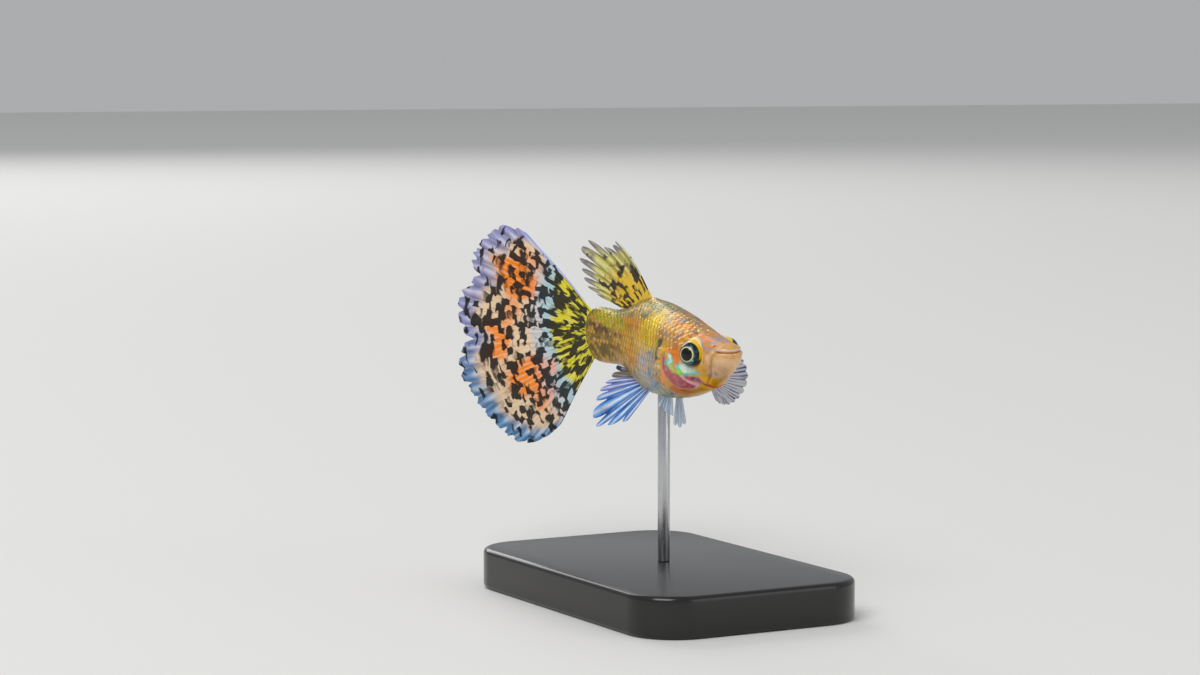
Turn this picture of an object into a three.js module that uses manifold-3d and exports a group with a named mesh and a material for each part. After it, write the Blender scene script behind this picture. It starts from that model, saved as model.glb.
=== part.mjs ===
// Life-size display model of a fancy guppy, a male with a fan tail, on a plain stand.
// Millimetres, +Z up, +X towards the snout, +Y to the fish's left.
// The origin is the middle of the underside of the base, straight below the rod.

import * as THREE from 'three';
import { mergeVertices } from 'three/addons/utils/BufferGeometryUtils.js';
import Module from 'manifold-3d';

// Driving dimensions

const BODY_LENGTH = 30; // snout to the end of the tail stalk, along the spine
const SWIM_HEIGHT = 25; // the spine above the floor
const SPINE_END = 50; // the spine line runs on through the tail fin to here
const BANK = 3; // degrees the fish leans over to its right
const PITCH = 1; // degrees the snout dips
const JOIN_GAP = 0.3; // clearance between pieces that meet

const ROD_STATION = 14.8; // where along the spine the rod stands
const ROD_RADIUS = 0.6;
const BASE_LENGTH = 38;
const BASE_WIDTH = 24;
const BASE_HEIGHT = 4;
const BASE_CORNER = 5;
const BASE_EDGE = 0.5;

const NOSE_CAP = 1.1; // length over which the snout rounds off
const STALK_CAP = 2.6; // length over which the tail stalk rounds off
const SQUARENESS = 2.25; // 2 is an ellipse, more is boxier

const GILL_STATION = 8.1;
const STALK_STATION = 22.4;

const EYE_STATION = 4.4;
const EYE_LEVEL = 0.6;
const EYE_RADIUS = 1.15;
const EYE_DEPTH = 1.05; // half the eyeball's size from side to side
const EYE_OUT = 1.9; // middle of the eyeball from the spine

const MOUTH_LEVEL = 0.8;
const MOUTH_DEPTH = 1.35; // how far back the mouth line runs
const LIP_RADIUS = 0.17;

const FIN_THICKNESS = 0.5;
const RAY_THICKNESS = 0.74;
const FIN_EDGE_THICKNESS = 0.32;

const degrees = THREE.MathUtils.degToRad;
const wasm = await Module();
wasm.setup();

// Curves

// A smooth function through pairs of [place, value], level beyond both ends.
function through(knots) {
  const slope = knots.map((knot, i) => {
    const before = knots[Math.max(i - 1, 0)];
    const after = knots[Math.min(i + 1, knots.length - 1)];
    return (after[1] - before[1]) / (after[0] - before[0]);
  });
  return (place) => {
    if (place <= knots[0][0]) return knots[0][1];
    if (place >= knots[knots.length - 1][0]) return knots[knots.length - 1][1];
    const i = knots.findIndex((knot) => knot[0] > place) - 1;
    const span = knots[i + 1][0] - knots[i][0];
    const t = (place - knots[i][0]) / span;
    const rise = knots[i + 1][1] - knots[i][1];
    return knots[i][1] + t * t * (3 - 2 * t) * rise
      + t * (1 - t) * span * ((1 - t) * slope[i] - t * slope[i + 1]);
  };
}

// The way the spine heads at each station, in degrees to the left of +X. The chest bows to
// the left a little and the tail swings to the right.
const heading = through([[0, 6], [4, 0], [10, -8], [17, -2], [24, 2], [30, 7], [38, 18], [48, 28]]);

const SPINE_STEP = 0.25;
const spineLine = [];
for (let s = -2, x = 0, y = 0; s <= SPINE_END; s += SPINE_STEP) {
  spineLine.push({ s, x, y });
  const angle = degrees(heading(s + SPINE_STEP / 2));
  x -= SPINE_STEP * Math.cos(angle);
  y -= SPINE_STEP * Math.sin(angle);
}

function spineRaw(s) {
  const at = THREE.MathUtils.clamp((s + 2) / SPINE_STEP, 0, spineLine.length - 1.001);
  const i = Math.floor(at);
  const here = spineLine[i];
  const next = spineLine[i + 1];
  return new THREE.Vector2(
    here.x + (next.x - here.x) * (at - i),
    here.y + (next.y - here.y) * (at - i),
  );
}

const rodFoot = spineRaw(ROD_STATION);

// A point of the fish: s along the spine from the snout, out to the left, up from the spine.
function fishPoint(s, left, up) {
  const spine = spineRaw(s).sub(rodFoot);
  const angle = degrees(heading(s));
  const point = new THREE.Vector3(spine.x - left * Math.sin(angle), spine.y + left * Math.cos(angle), up);
  point.applyAxisAngle(new THREE.Vector3(1, 0, 0), degrees(BANK));
  point.applyAxisAngle(new THREE.Vector3(0, 1, 0), degrees(PITCH));
  point.z += SWIM_HEIGHT;
  return point;
}

// Body form, each a height or a half width in millimetres by station along the spine

const backLine = through([
  [0, 1.45], [1.5, 1.75], [3.6, 2.15], [5.5, 2.6], [7.3, 3.05], [10.8, 3.8], [15.9, 4.45],
  [18.5, 4.05], [21, 3.3], [24, 2.8], [27, 2.8], [30, 2.6],
]);
const bellyLine = through([
  [0, -0.3], [1.2, -1.3], [2.4, -2.1], [4, -2.8], [5.8, -3.45], [8.3, -4.15], [11.1, -4.6], [14.9, -4.75],
  [17.5, -4.6], [19.5, -3.9], [21.4, -3.05], [23.4, -2.75], [27, -2.8], [30, -2.55],
]);
const halfWidth = through([
  [0, 1.15], [1.2, 1.5], [2.4, 1.98], [3.7, 2.4], [5.8, 2.75], [8.3, 2.95], [11, 3.0], [15, 2.75],
  [18, 2.3], [21, 1.75], [24, 1.35], [27, 1.05], [30, 0.7],
]);
const widestLevel = through([[0, 0.75], [2.4, 0.1], [5, -0.3], [9, -0.7], [14, -0.9], [19, -0.2], [24, 0.2], [30, 0.2]]);

function capShrink(s, grow) {
  const nose = Math.min((s + grow) / (NOSE_CAP + grow), 1);
  const stalk = Math.min((BODY_LENGTH - s + grow) / (STALK_CAP + grow), 1);
  const round = (t) => Math.sqrt(Math.max(1 - (1 - t) ** 2, 0));
  return round(nose) * round(stalk);
}

// A point of the body's surface at a station, turned round the spine by an angle from its
// left side, and moved out by grow.
function bodyPoint(s, angle, grow = 0) {
  const level = widestLevel(s);
  const shrink = capShrink(s, grow);
  const power = 2 / SQUARENESS;
  const cos = Math.cos(angle);
  const sin = Math.sin(angle);
  const out = Math.sign(cos) * Math.abs(cos) ** power * (halfWidth(s) + grow);
  const reach = sin > 0 ? backLine(s) - level + grow : level - bellyLine(s) + grow;
  const up = level + Math.sign(sin) * Math.abs(sin) ** power * reach * shrink;
  return fishPoint(s, out * shrink, up);
}

// Solids

function solidFrom(geometry) {
  const bare = new THREE.BufferGeometry();
  bare.setAttribute('position', geometry.getAttribute('position'));
  if (geometry.index) bare.setIndex(geometry.index);
  const merged = mergeVertices(bare, 1e-4);
  return new wasm.Manifold(new wasm.Mesh({
    numProp: 3,
    vertProperties: new Float32Array(merged.getAttribute('position').array),
    triVerts: new Uint32Array(merged.index.array),
  }));
}

function geometryFrom(solid) {
  const mesh = solid.getMesh();
  const geometry = new THREE.BufferGeometry();
  geometry.setAttribute('position', new THREE.BufferAttribute(new Float32Array(mesh.vertProperties), 3));
  geometry.setIndex(new THREE.BufferAttribute(new Uint32Array(mesh.triVerts), 1));
  const flat = geometry.toNonIndexed();
  flat.computeVertexNormals();
  return flat;
}

function largest(solid) {
  return solid.decompose().sort((a, b) => b.volume() - a.volume())[0];
}

// The whole body as one closed form: a sphere whose rings are laid along the spine.
const BODY_SIDES = 28;
const ringStations = [];
for (let s = 0.06; s < 1.2; s += 0.26) ringStations.push(s);
for (let s = 1.4; s < 9; s += 0.75) ringStations.push(s);
for (let s = 9.6; s < 27; s += 1.3) ringStations.push(s);
for (let s = 27.5; s < 29.95; s += 0.48) ringStations.push(s);

function bodySolid(grow) {
  const rings = ringStations.length;
  const form = new THREE.SphereGeometry(1, BODY_SIDES, rings + 1);
  const at = form.getAttribute('position');
  const across = BODY_SIDES + 1;
  for (let row = 0; row <= rings + 1; row += 1) {
    const atSnout = row === 0;
    const atStalk = row === rings + 1;
    for (let side = 0; side < across; side += 1) {
      const angle = (side % BODY_SIDES) / BODY_SIDES * 2 * Math.PI;
      let point;
      if (atSnout) point = fishPoint(-grow, 0, widestLevel(0));
      else if (atStalk) point = fishPoint(BODY_LENGTH + grow, 0, widestLevel(BODY_LENGTH));
      else {
        const s = ringStations[row - 1];
        const stretch = s < BODY_LENGTH / 2 ? s - grow * (1 - s / (BODY_LENGTH / 2))
          : s + grow * (s / (BODY_LENGTH / 2) - 1);
        point = bodyPoint(stretch, angle, grow);
      }
      at.setXYZ(row * across + side, point.x, point.y, point.z);
    }
  }
  const solid = solidFrom(form);
  if (solid.volume() > 0) return solid;
  const index = form.index.array;
  for (let i = 0; i < index.length; i += 3) [index[i + 1], index[i + 2]] = [index[i + 2], index[i + 1]];
  return solidFrom(form);
}

const body = bodySolid(0);
const bodyGrown = bodySolid(JOIN_GAP);

// A flat outline in the side view, from [station, height] pairs, pushed through the fish
// from one distance to the other on its left.
function sideBlock(outline, from, to) {
  const shape = new THREE.Shape(outline.map(([s, up]) => {
    const point = fishPoint(s, 0, up);
    return new THREE.Vector2(point.x, point.z);
  }));
  const geometry = new THREE.ExtrudeGeometry(shape, { depth: to - from, bevelEnabled: false });
  geometry.rotateX(Math.PI / 2);
  geometry.translate(0, to, 0);
  return solidFrom(geometry);
}

// A thin wall that follows a line in the side view, used to part two pieces.
function partingWall(line) {
  const curve = new THREE.SplineCurve(line.map(([s, up]) => new THREE.Vector2(s, up)));
  const points = curve.getPoints(line.length * 3);
  const side = (sign) => points.map((point, i) => {
    const along = curve.getTangent(i / (points.length - 1));
    return [point.x - along.y * sign * JOIN_GAP / 2, point.y + along.x * sign * JOIN_GAP / 2];
  });
  return sideBlock([...side(1), ...side(-1).reverse()], -8, 8);
}

function partsOf(solid, wall) {
  return solid.subtract(wall).decompose().filter((piece) => piece.volume() > 0.05);
}

function centreX(solid) {
  const box = solid.boundingBox();
  return (box.min[0] + box.max[0]) / 2;
}

// Head, torso and tail stalk

const gillLine = [[7.0, 6], [7.1, 3.5], [7.9, 1.2], [GILL_STATION, -0.8], [7.5, -2.6], [6.4, -4.2], [5.6, -6]];
const stalkLine = [[STALK_STATION, 6], [STALK_STATION + 0.3, 0], [STALK_STATION, -6]];
const [wholeHead, rest] = partsOf(body, partingWall(gillLine)).sort((a, b) => centreX(b) - centreX(a));
const [wholeTorso, tailStalk] = partsOf(rest, partingWall(stalkLine)).sort((a, b) => centreX(b) - centreX(a));

// Lower jaw, parted from the head along the mouth line and the throat

const jawLine = [
  [-1, MOUTH_LEVEL], [0.2, MOUTH_LEVEL], [MOUTH_DEPTH, MOUTH_LEVEL + 0.08], [1.85, -0.3],
  [2.5, -1.4], [3.4, -2.2], [4.0, -3.2], [4.2, -5],
];
const [skull, jaw] = partsOf(wholeHead, partingWall(jawLine)).sort((a, b) => b.volume() - a.volume());

// Lips, a soft roll above and below the mouth line from corner to corner

function lip(level, sag) {
  const bend = [];
  for (let i = 0; i <= 8; i += 1) {
    const turn = Math.PI * (i / 8 - 0.5);
    const s = MOUTH_DEPTH * 0.95 - (MOUTH_DEPTH * 0.95 - 0.12) * Math.cos(turn) ** 0.8;
    const point = bodyPoint(Math.max(s, 0.12), 0, 0);
    const edge = Math.abs(point.y - fishPoint(s, 0, 0).y);
    bend.push(fishPoint(s, edge * Math.sin(turn), level - sag * Math.sin(turn) ** 2));
  }
  const path = new THREE.CatmullRomCurve3(bend);
  const circle = new THREE.Shape().absarc(0, 0, LIP_RADIUS, 0, 2 * Math.PI);
  return solidFrom(new THREE.ExtrudeGeometry(circle, { curveSegments: 3, steps: 16, extrudePath: path }));
}

const lipApart = LIP_RADIUS + JOIN_GAP / 2 + 0.02;
const upperLip = lip(MOUTH_LEVEL + lipApart, -0.08);
const lowerLip = lip(MOUTH_LEVEL - lipApart, -0.08);

// Eyes

function eyeball(side, grow) {
  const form = new THREE.SphereGeometry(1, 20, 12);
  form.scale(EYE_RADIUS + grow, EYE_DEPTH + grow, EYE_RADIUS + grow);
  form.rotateZ(degrees(heading(EYE_STATION) - side * 7));
  const middle = fishPoint(EYE_STATION, side * EYE_OUT, EYE_LEVEL);
  form.translate(middle.x, middle.y, middle.z);
  return solidFrom(form);
}

function nostril(side) {
  const form = new THREE.SphereGeometry(0.2, 10, 8);
  const middle = bodyPoint(1.75, side > 0 ? degrees(48) : degrees(132));
  form.translate(middle.x, middle.y, middle.z);
  return solidFrom(form);
}

// Gill covers, thin plates let into the cheek

const COVER_OUTLINE = [
  [6.3, 0.7], [7.2, 0.9], [8.1, 0.3], [8.4, -0.9], [7.9, -2.3], [6.7, -3.2], [5.3, -3.2],
  [4.6, -2.6], [5.4, -1.9], [6.0, -0.7],
];
const COVER_PLATE = 0.6;

function grownOutline(outline, grow) {
  const middle = outline.reduce((sum, [s, up]) => [sum[0] + s / outline.length, sum[1] + up / outline.length], [0, 0]);
  return outline.map(([s, up]) => {
    const away = Math.hypot(s - middle[0], up - middle[1]);
    return [s + (s - middle[0]) / away * grow, up + (up - middle[1]) / away * grow];
  });
}

function roundOutline(outline) {
  const curve = new THREE.CatmullRomCurve3(outline.map(([s, up]) => new THREE.Vector3(s, up, 0)), true);
  return curve.getPoints(outline.length * 3).slice(0, -1).map((point) => [point.x, point.y]);
}

const coverOutline = roundOutline(COVER_OUTLINE);
const coverShell = bodySolid(0.12).subtract(bodySolid(-COVER_PLATE));
const coverRoom = bodySolid(1).subtract(bodySolid(-COVER_PLATE - JOIN_GAP));

function sideSpan(side, near, far) {
  return side > 0 ? [near, far] : [-far, -near];
}

function gillCover(side) {
  const block = sideBlock(coverOutline, ...sideSpan(side, 0.5, 6));
  return largest(coverShell.intersect(block));
}

function coverPocket(side) {
  const block = sideBlock(grownOutline(coverOutline, JOIN_GAP), ...sideSpan(side, 0.5, 6));
  return coverRoom.intersect(block);
}

let head = skull.add(upperLip);
let lowerJaw = jaw.add(lowerLip);
let torso = wholeTorso;
for (const side of [-1, 1]) {
  head = head.subtract(coverPocket(side)).subtract(eyeball(side, JOIN_GAP)).subtract(nostril(side));
  lowerJaw = lowerJaw.subtract(coverPocket(side)).subtract(eyeball(side, JOIN_GAP));
  torso = largest(torso.subtract(coverPocket(side)));
}
head = largest(head.subtract(lip(MOUTH_LEVEL - lipApart, -0.08)));

// Fins. Each is one blade whose rays stand out on both faces. A column runs down each ray,
// down each side of it and down the membrane between two rays.

const RAY_COLUMNS = [
  { across: -0.5, length: 0, ridge: 0 },
  { across: -0.22, length: 0.93, ridge: 0.35 },
  { across: 0, length: 1, ridge: 1 },
  { across: 0.22, length: 0.93, ridge: 0.35 },
];
const PLAIN_COLUMNS = [{ across: -0.5, length: 0, ridge: 0 }, { across: 0, length: 1, ridge: 1 }];

// rootAt(u) and tipAt(u) give the ends of the ray at u from 0 to 1 across the fan, pathAt(root,
// tip, v) a point on it, and notch the share of a ray that the membrane falls short of it.
function finBlade({ rays, rows, rootAt, tipAt, pathAt, notch, columns = RAY_COLUMNS, rootThickness = RAY_THICKNESS }) {
  const lines = [];
  for (let ray = 0; ray < rays; ray += 1) {
    for (const column of columns) {
      const u = (ray + 0.5 + column.across) / rays;
      lines.push({ u, reach: 1 - notch(u) * (1 - column.length), ridge: column.ridge });
    }
  }
  lines.shift(); // the fin's first and last edges are rays, not membrane
  const point = (u, v) => pathAt(rootAt(u), tipAt(u), v);
  const normal = (u, v) => {
    const step = 0.004;
    const low = Math.max(u - step, 0);
    const high = Math.min(u + step, 1);
    const across = point(high, v).sub(point(low, v));
    const along = point(u, v + step).sub(point(u, v - step));
    return across.cross(along).normalize();
  };
  const positions = [];
  for (const face of [1, -1]) {
    for (const line of lines) {
      for (let row = 0; row <= rows; row += 1) {
        const v = (row / rows) * line.reach;
        const flat = FIN_THICKNESS + (rootThickness - FIN_THICKNESS) * (1 - v) ** 2;
        const ridge = (RAY_THICKNESS - FIN_THICKNESS) * line.ridge * Math.sin(Math.PI * Math.min(0.25 + v, 1));
        const fade = row === rows ? 1 : 0;
        const thickness = THREE.MathUtils.lerp(flat + ridge, FIN_EDGE_THICKNESS, fade);
        const place = point(line.u, v).addScaledVector(normal(line.u, v), face * thickness / 2);
        positions.push(place.x, place.y, place.z);
      }
    }
  }
  const count = lines.length * (rows + 1);
  const id = (face, column, row) => face * count + column * (rows + 1) + row;
  const triangles = [];
  const quad = (a, b, c, d) => triangles.push(a, b, c, a, c, d);
  for (let c = 0; c < lines.length - 1; c += 1) {
    for (let r = 0; r < rows; r += 1) {
      quad(id(0, c, r), id(0, c + 1, r), id(0, c + 1, r + 1), id(0, c, r + 1));
      triangles.push(id(1, c, r), id(1, c + 1, r + 1), id(1, c + 1, r));
      triangles.push(id(1, c, r), id(1, c, r + 1), id(1, c + 1, r + 1));
    }
    quad(id(0, c, rows), id(0, c + 1, rows), id(1, c + 1, rows), id(1, c, rows));
    quad(id(0, c + 1, 0), id(0, c, 0), id(1, c, 0), id(1, c + 1, 0));
  }
  const last = lines.length - 1;
  for (let r = 0; r < rows; r += 1) {
    quad(id(0, 0, r), id(0, 0, r + 1), id(1, 0, r + 1), id(1, 0, r));
    quad(id(0, last, r + 1), id(0, last, r), id(1, last, r), id(1, last, r + 1));
  }
  const geometry = new THREE.BufferGeometry();
  geometry.setAttribute('position', new THREE.Float32BufferAttribute(positions, 3));
  geometry.setIndex(triangles);
  const solid = solidFrom(geometry);
  if (solid.volume() > 0) return solid;
  for (let i = 0; i < triangles.length; i += 3) [triangles[i + 1], triangles[i + 2]] = [triangles[i + 2], triangles[i + 1]];
  geometry.setIndex(triangles);
  return solidFrom(geometry);
}

const straightPath = (root, tip, v) => root.clone().lerp(tip, v);

// Points in the fish's own plane, [station, height, out to the left], as Vector3(s, up, left)
const inFish = (path) => (root, tip, v) => {
  const at = path(root, tip, v);
  return fishPoint(at.x, at.z, at.y);
};

// Tail fin, a fan about a point inside the tail stalk

const TAIL_RAYS = 22;
const TAIL_HUB = 26.3;
const TAIL_HUB_LEVEL = 0.2;
const TAIL_ROOT_RADIUS = 2.4;
const tailLow = -50;
const tailHigh = 39;
const tailReach = through([
  [-50, 12.2], [-46, 16.8], [-40, 19.4], [-33, 20.9], [-26, 21.9], [-19, 22.6], [-11, 22.4], [-5, 21.4],
  [0, 22.3], [7, 22.3], [13.5, 20.3], [18, 20.9], [25, 20.4], [31, 19.3], [35, 17.8], [39, 14.6],
]);

function tailPolar(u, radius) {
  const angle = THREE.MathUtils.lerp(tailLow, tailHigh, u);
  const turn = degrees(angle);
  return new THREE.Vector3(
    TAIL_HUB + radius * Math.cos(turn),
    TAIL_HUB_LEVEL + radius * Math.sin(turn),
    0,
  );
}

function tailPath(root, tip, v) {
  const at = root.clone().lerp(tip, v);
  at.z = 0.45 * v * v * Math.sin(at.y * 0.55 + 0.6); // the fin ripples from top to bottom
  return at;
}

const tailFin = finBlade({
  rays: TAIL_RAYS,
  rows: 7,
  rootAt: (u) => tailPolar(u, TAIL_ROOT_RADIUS),
  tipAt: (u) => tailPolar(u, tailReach(THREE.MathUtils.lerp(tailLow, tailHigh, u))),
  pathAt: inFish(tailPath),
  notch: () => 0.055,
  rootThickness: 0.95,
});

// Dorsal fin, long free rays swept back over the tail stalk

const DORSAL_RAYS = 10;
const dorsalRootStation = through([[0, 16.1], [1, 21.2]]);
const dorsalTipStation = through([
  [0, 24.7], [0.15, 25.2], [0.25, 26.6], [0.37, 29.9], [0.5, 31.2], [0.68, 30.9], [0.85, 30.0], [1, 27.4],
]);
const dorsalTipLevel = through([
  [0, 9.7], [0.15, 9.1], [0.25, 8.8], [0.37, 9.3], [0.5, 7.8], [0.68, 6.0], [0.85, 4.5], [1, 3.5],
]);
const dorsalLean = through([[0, 1.1], [0.5, 0.4], [1, 0.15]]); // how far each ray bows upwards

const dorsalFin = finBlade({
  rays: DORSAL_RAYS,
  rows: 8,
  rootAt: (u) => new THREE.Vector3(dorsalRootStation(u), backLine(dorsalRootStation(u)) - 0.9, 0),
  tipAt: (u) => new THREE.Vector3(dorsalTipStation(u), dorsalTipLevel(u), dorsalLean(u)),
  pathAt: inFish((root, tip, v) => new THREE.Vector3(
    THREE.MathUtils.lerp(root.x, tip.x, v),
    THREE.MathUtils.lerp(root.y, tip.y, v) + tip.z * Math.sin(Math.PI * v),
    0.5 * v * v,
  )),
  notch: through([[0, 0.12], [0.2, 0.2], [0.33, 0.3], [0.7, 0.34], [1, 0.3]]),
});

// Anal fin, a fan from one short fleshy root, swung a little to the right

const ANAL_RAYS = 9;
const analRootStation = through([[0, 16.9], [1, 19.2]]);
const analAngle = through([[0, -40], [0.2, -31], [0.33, -26], [0.45, -15], [0.65, -4], [0.8, 5], [1, 26]]);
const analLength = through([
  [0, 4.8], [0.12, 6.4], [0.25, 8.7], [0.35, 9.1], [0.45, 8.0], [0.65, 6.4], [0.8, 4.9], [1, 3.8],
]);
const ANAL_SWING = degrees(17);

const analFin = finBlade({
  rays: ANAL_RAYS,
  rows: 6,
  rootAt: (u) => new THREE.Vector3(analRootStation(u), bellyLine(analRootStation(u)) + 0.8, 0),
  tipAt: (u) => {
    const turn = degrees(analAngle(u));
    const back = analLength(u) * Math.cos(turn);
    return new THREE.Vector3(
      analRootStation(u) + back * Math.cos(ANAL_SWING),
      bellyLine(analRootStation(u)) + analLength(u) * Math.sin(turn),
      -back * Math.sin(ANAL_SWING),
    );
  },
  pathAt: inFish(straightPath),
  notch: through([[0, 0.16], [0.3, 0.26], [1, 0.2]]),
});

// Pelvic fins, a narrow pair of three rays each that hang below the belly

function pelvicFin(side, { lengths, back, out }) {
  const rootStation = (u) => 12.2 + 0.9 * u;
  return finBlade({
    rays: 3,
    rows: 6,
    rootAt: (u) => new THREE.Vector3(rootStation(u), bellyLine(rootStation(u)) + 0.9, side * 0.45),
    tipAt: (u) => new THREE.Vector3(
      rootStation(u) + back(u),
      bellyLine(rootStation(u)) - lengths(u),
      side * (0.45 + out),
    ),
    pathAt: inFish(straightPath),
    notch: () => 0.12,
  });
}

// Pectoral fins. The right one is laid back along the flank, the left one is spread.

const PECTORAL_STATION = 8.9;
const PECTORAL_LEVEL = -2.6;
const PECTORAL_RAYS = 12;

function flankOut(s, level) {
  const middle = widestLevel(s);
  const tall = level > middle ? backLine(s) - middle : middle - bellyLine(s);
  const share = Math.min(Math.abs(level - middle) / tall, 0.999);
  return halfWidth(s) * (1 - share ** SQUARENESS) ** (1 / SQUARENESS);
}

function foldedPectoral(side) {
  const angle = through([[0, 62], [1, -12]]);
  const length = through([[0, 4.4], [0.35, 5.2], [1, 4.0]]);
  return finBlade({
    rays: PECTORAL_RAYS,
    rows: 6,
    columns: PLAIN_COLUMNS,
    rootAt: (u) => new THREE.Vector3(PECTORAL_STATION - 0.3 + 0.5 * u, PECTORAL_LEVEL + 0.7 - 1.2 * u, 0),
    tipAt: (u) => new THREE.Vector3(
      PECTORAL_STATION + length(u) * Math.cos(degrees(angle(u))),
      PECTORAL_LEVEL + length(u) * Math.sin(degrees(angle(u))),
      0,
    ),
    pathAt: inFish((root, tip, v) => {
      const at = root.clone().lerp(tip, v);
      at.z = side * (flankOut(at.x, at.y) - 0.5 + 1.15 * Math.sqrt(Math.max(v, 0)) + 0.2 * v);
      return at;
    }),
    notch: () => 0.07,
  });
}

function spreadPectoral(side) {
  const angle = through([[0, 34], [1, -98]]); // above the level, in the fan's own plane
  const length = through([[0, 3.6], [0.3, 4.5], [0.6, 3.7], [1, 2.1]]);
  const SWEPT_BACK = degrees(24);
  return finBlade({
    rays: PECTORAL_RAYS,
    rows: 6,
    columns: PLAIN_COLUMNS,
    rootAt: (u) => new THREE.Vector3(PECTORAL_STATION - 0.3, PECTORAL_LEVEL + 0.55 - 1.1 * u, side * 1.9),
    tipAt: (u) => {
      const turn = degrees(angle(u));
      const out = 1.0 + length(u) * Math.cos(turn);
      return new THREE.Vector3(
        PECTORAL_STATION - 0.3 + out * Math.sin(SWEPT_BACK),
        PECTORAL_LEVEL + length(u) * Math.sin(turn),
        side * (1.9 + out * Math.cos(SWEPT_BACK)),
      );
    },
    pathAt: inFish(straightPath),
    notch: () => 0.07,
  });
}

function offBody(fin) {
  return largest(fin.subtract(bodyGrown));
}

// Stand: a flat base with rounded corners, and a rod up to the belly

function roundedRectangle(length, width, corner) {
  const x = length / 2 - corner;
  const y = width / 2 - corner;
  const shape = new THREE.Shape();
  shape.absarc(x, y, corner, 0, Math.PI / 2);
  shape.absarc(-x, y, corner, Math.PI / 2, Math.PI);
  shape.absarc(-x, -y, corner, Math.PI, 1.5 * Math.PI);
  shape.absarc(x, -y, corner, 1.5 * Math.PI, 2 * Math.PI);
  return shape;
}

function standBase() {
  const shape = roundedRectangle(BASE_LENGTH - 2 * BASE_EDGE, BASE_WIDTH - 2 * BASE_EDGE, BASE_CORNER - BASE_EDGE);
  const geometry = new THREE.ExtrudeGeometry(shape, {
    depth: BASE_HEIGHT - 2 * BASE_EDGE,
    curveSegments: 5,
    bevelSize: BASE_EDGE,
    bevelThickness: BASE_EDGE,
    bevelSegments: 2,
  });
  geometry.translate(0, 0, BASE_EDGE);
  return solidFrom(geometry);
}

function standRod() {
  const foot = BASE_HEIGHT + JOIN_GAP;
  const height = SWIM_HEIGHT - foot;
  const geometry = new THREE.CylinderGeometry(ROD_RADIUS, ROD_RADIUS, height, 24);
  geometry.rotateX(Math.PI / 2);
  geometry.translate(0, 0, foot + height / 2);
  return largest(solidFrom(geometry).subtract(bodyGrown));
}

// Materials

const skinGold = new THREE.MeshStandardMaterial({ color: 0xb99a3c, roughness: 0.35, metalness: 0.2 });
const headGold = new THREE.MeshStandardMaterial({ color: 0xd9a55c, roughness: 0.35, metalness: 0.15 });
const stalkOlive = new THREE.MeshStandardMaterial({ color: 0x8a7a34, roughness: 0.4, metalness: 0.15 });
const coverPink = new THREE.MeshStandardMaterial({ color: 0xc0606e, roughness: 0.3, metalness: 0.3 });
const eyeBlack = new THREE.MeshStandardMaterial({ color: 0x0d1418, roughness: 0.08, metalness: 0 });
const tailOrange = new THREE.MeshStandardMaterial({ color: 0xe39a5a, roughness: 0.45, metalness: 0 });
const dorsalYellow = new THREE.MeshStandardMaterial({ color: 0xcfb326, roughness: 0.45, metalness: 0 });
const finBlue = new THREE.MeshStandardMaterial({ color: 0x6fa6dc, roughness: 0.4, metalness: 0.1 });
const finClear = new THREE.MeshStandardMaterial({ color: 0x9fb2c8, roughness: 0.4, metalness: 0 });
const baseBlack = new THREE.MeshStandardMaterial({ color: 0x1b1a19, roughness: 0.35, metalness: 0 });
const rodSteel = new THREE.MeshStandardMaterial({ color: 0xb8babd, roughness: 0.25, metalness: 1 });

const guppy = new THREE.Group();

function addPart(name, solid, material) {
  const mesh = new THREE.Mesh(geometryFrom(solid), material);
  mesh.name = name;
  guppy.add(mesh);
}

addPart('head', head, headGold);
addPart('lower_jaw', largest(lowerJaw), headGold);
addPart('torso', torso, skinGold);
addPart('tail_stalk', tailStalk, stalkOlive);
addPart('eye_right', eyeball(-1, 0), eyeBlack);
addPart('eye_left', eyeball(1, 0), eyeBlack);
addPart('gill_cover_right', gillCover(-1), coverPink);
addPart('gill_cover_left', gillCover(1), coverPink);
addPart('tail_fin', offBody(tailFin), tailOrange);
addPart('dorsal_fin', offBody(dorsalFin), dorsalYellow);
addPart('anal_fin', offBody(analFin), finBlue);
addPart('pelvic_fin_right', offBody(pelvicFin(-1, {
  lengths: through([[0, 1.9], [0.5, 1.5], [1, 0.7]]),
  back: (u) => 0.1 + 1.3 * u,
  out: 0.3,
})), finClear);
addPart('pelvic_fin_left', offBody(pelvicFin(1, {
  lengths: through([[0, 2.5], [0.5, 3.1], [1, 2.7]]),
  back: (u) => 0.3 + 0.5 * u,
  out: 0.2,
})), finClear);
addPart('pectoral_fin_right', offBody(foldedPectoral(-1)), finClear);
addPart('pectoral_fin_left', offBody(spreadPectoral(1)), finClear);
addPart('stand_rod', standRod(), rodSteel);
addPart('stand_base', standBase(), baseBlack);

export default guppy;
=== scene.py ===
import math

import bmesh
import bpy
import numpy as np
from mathutils import Matrix, Vector, noise


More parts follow.
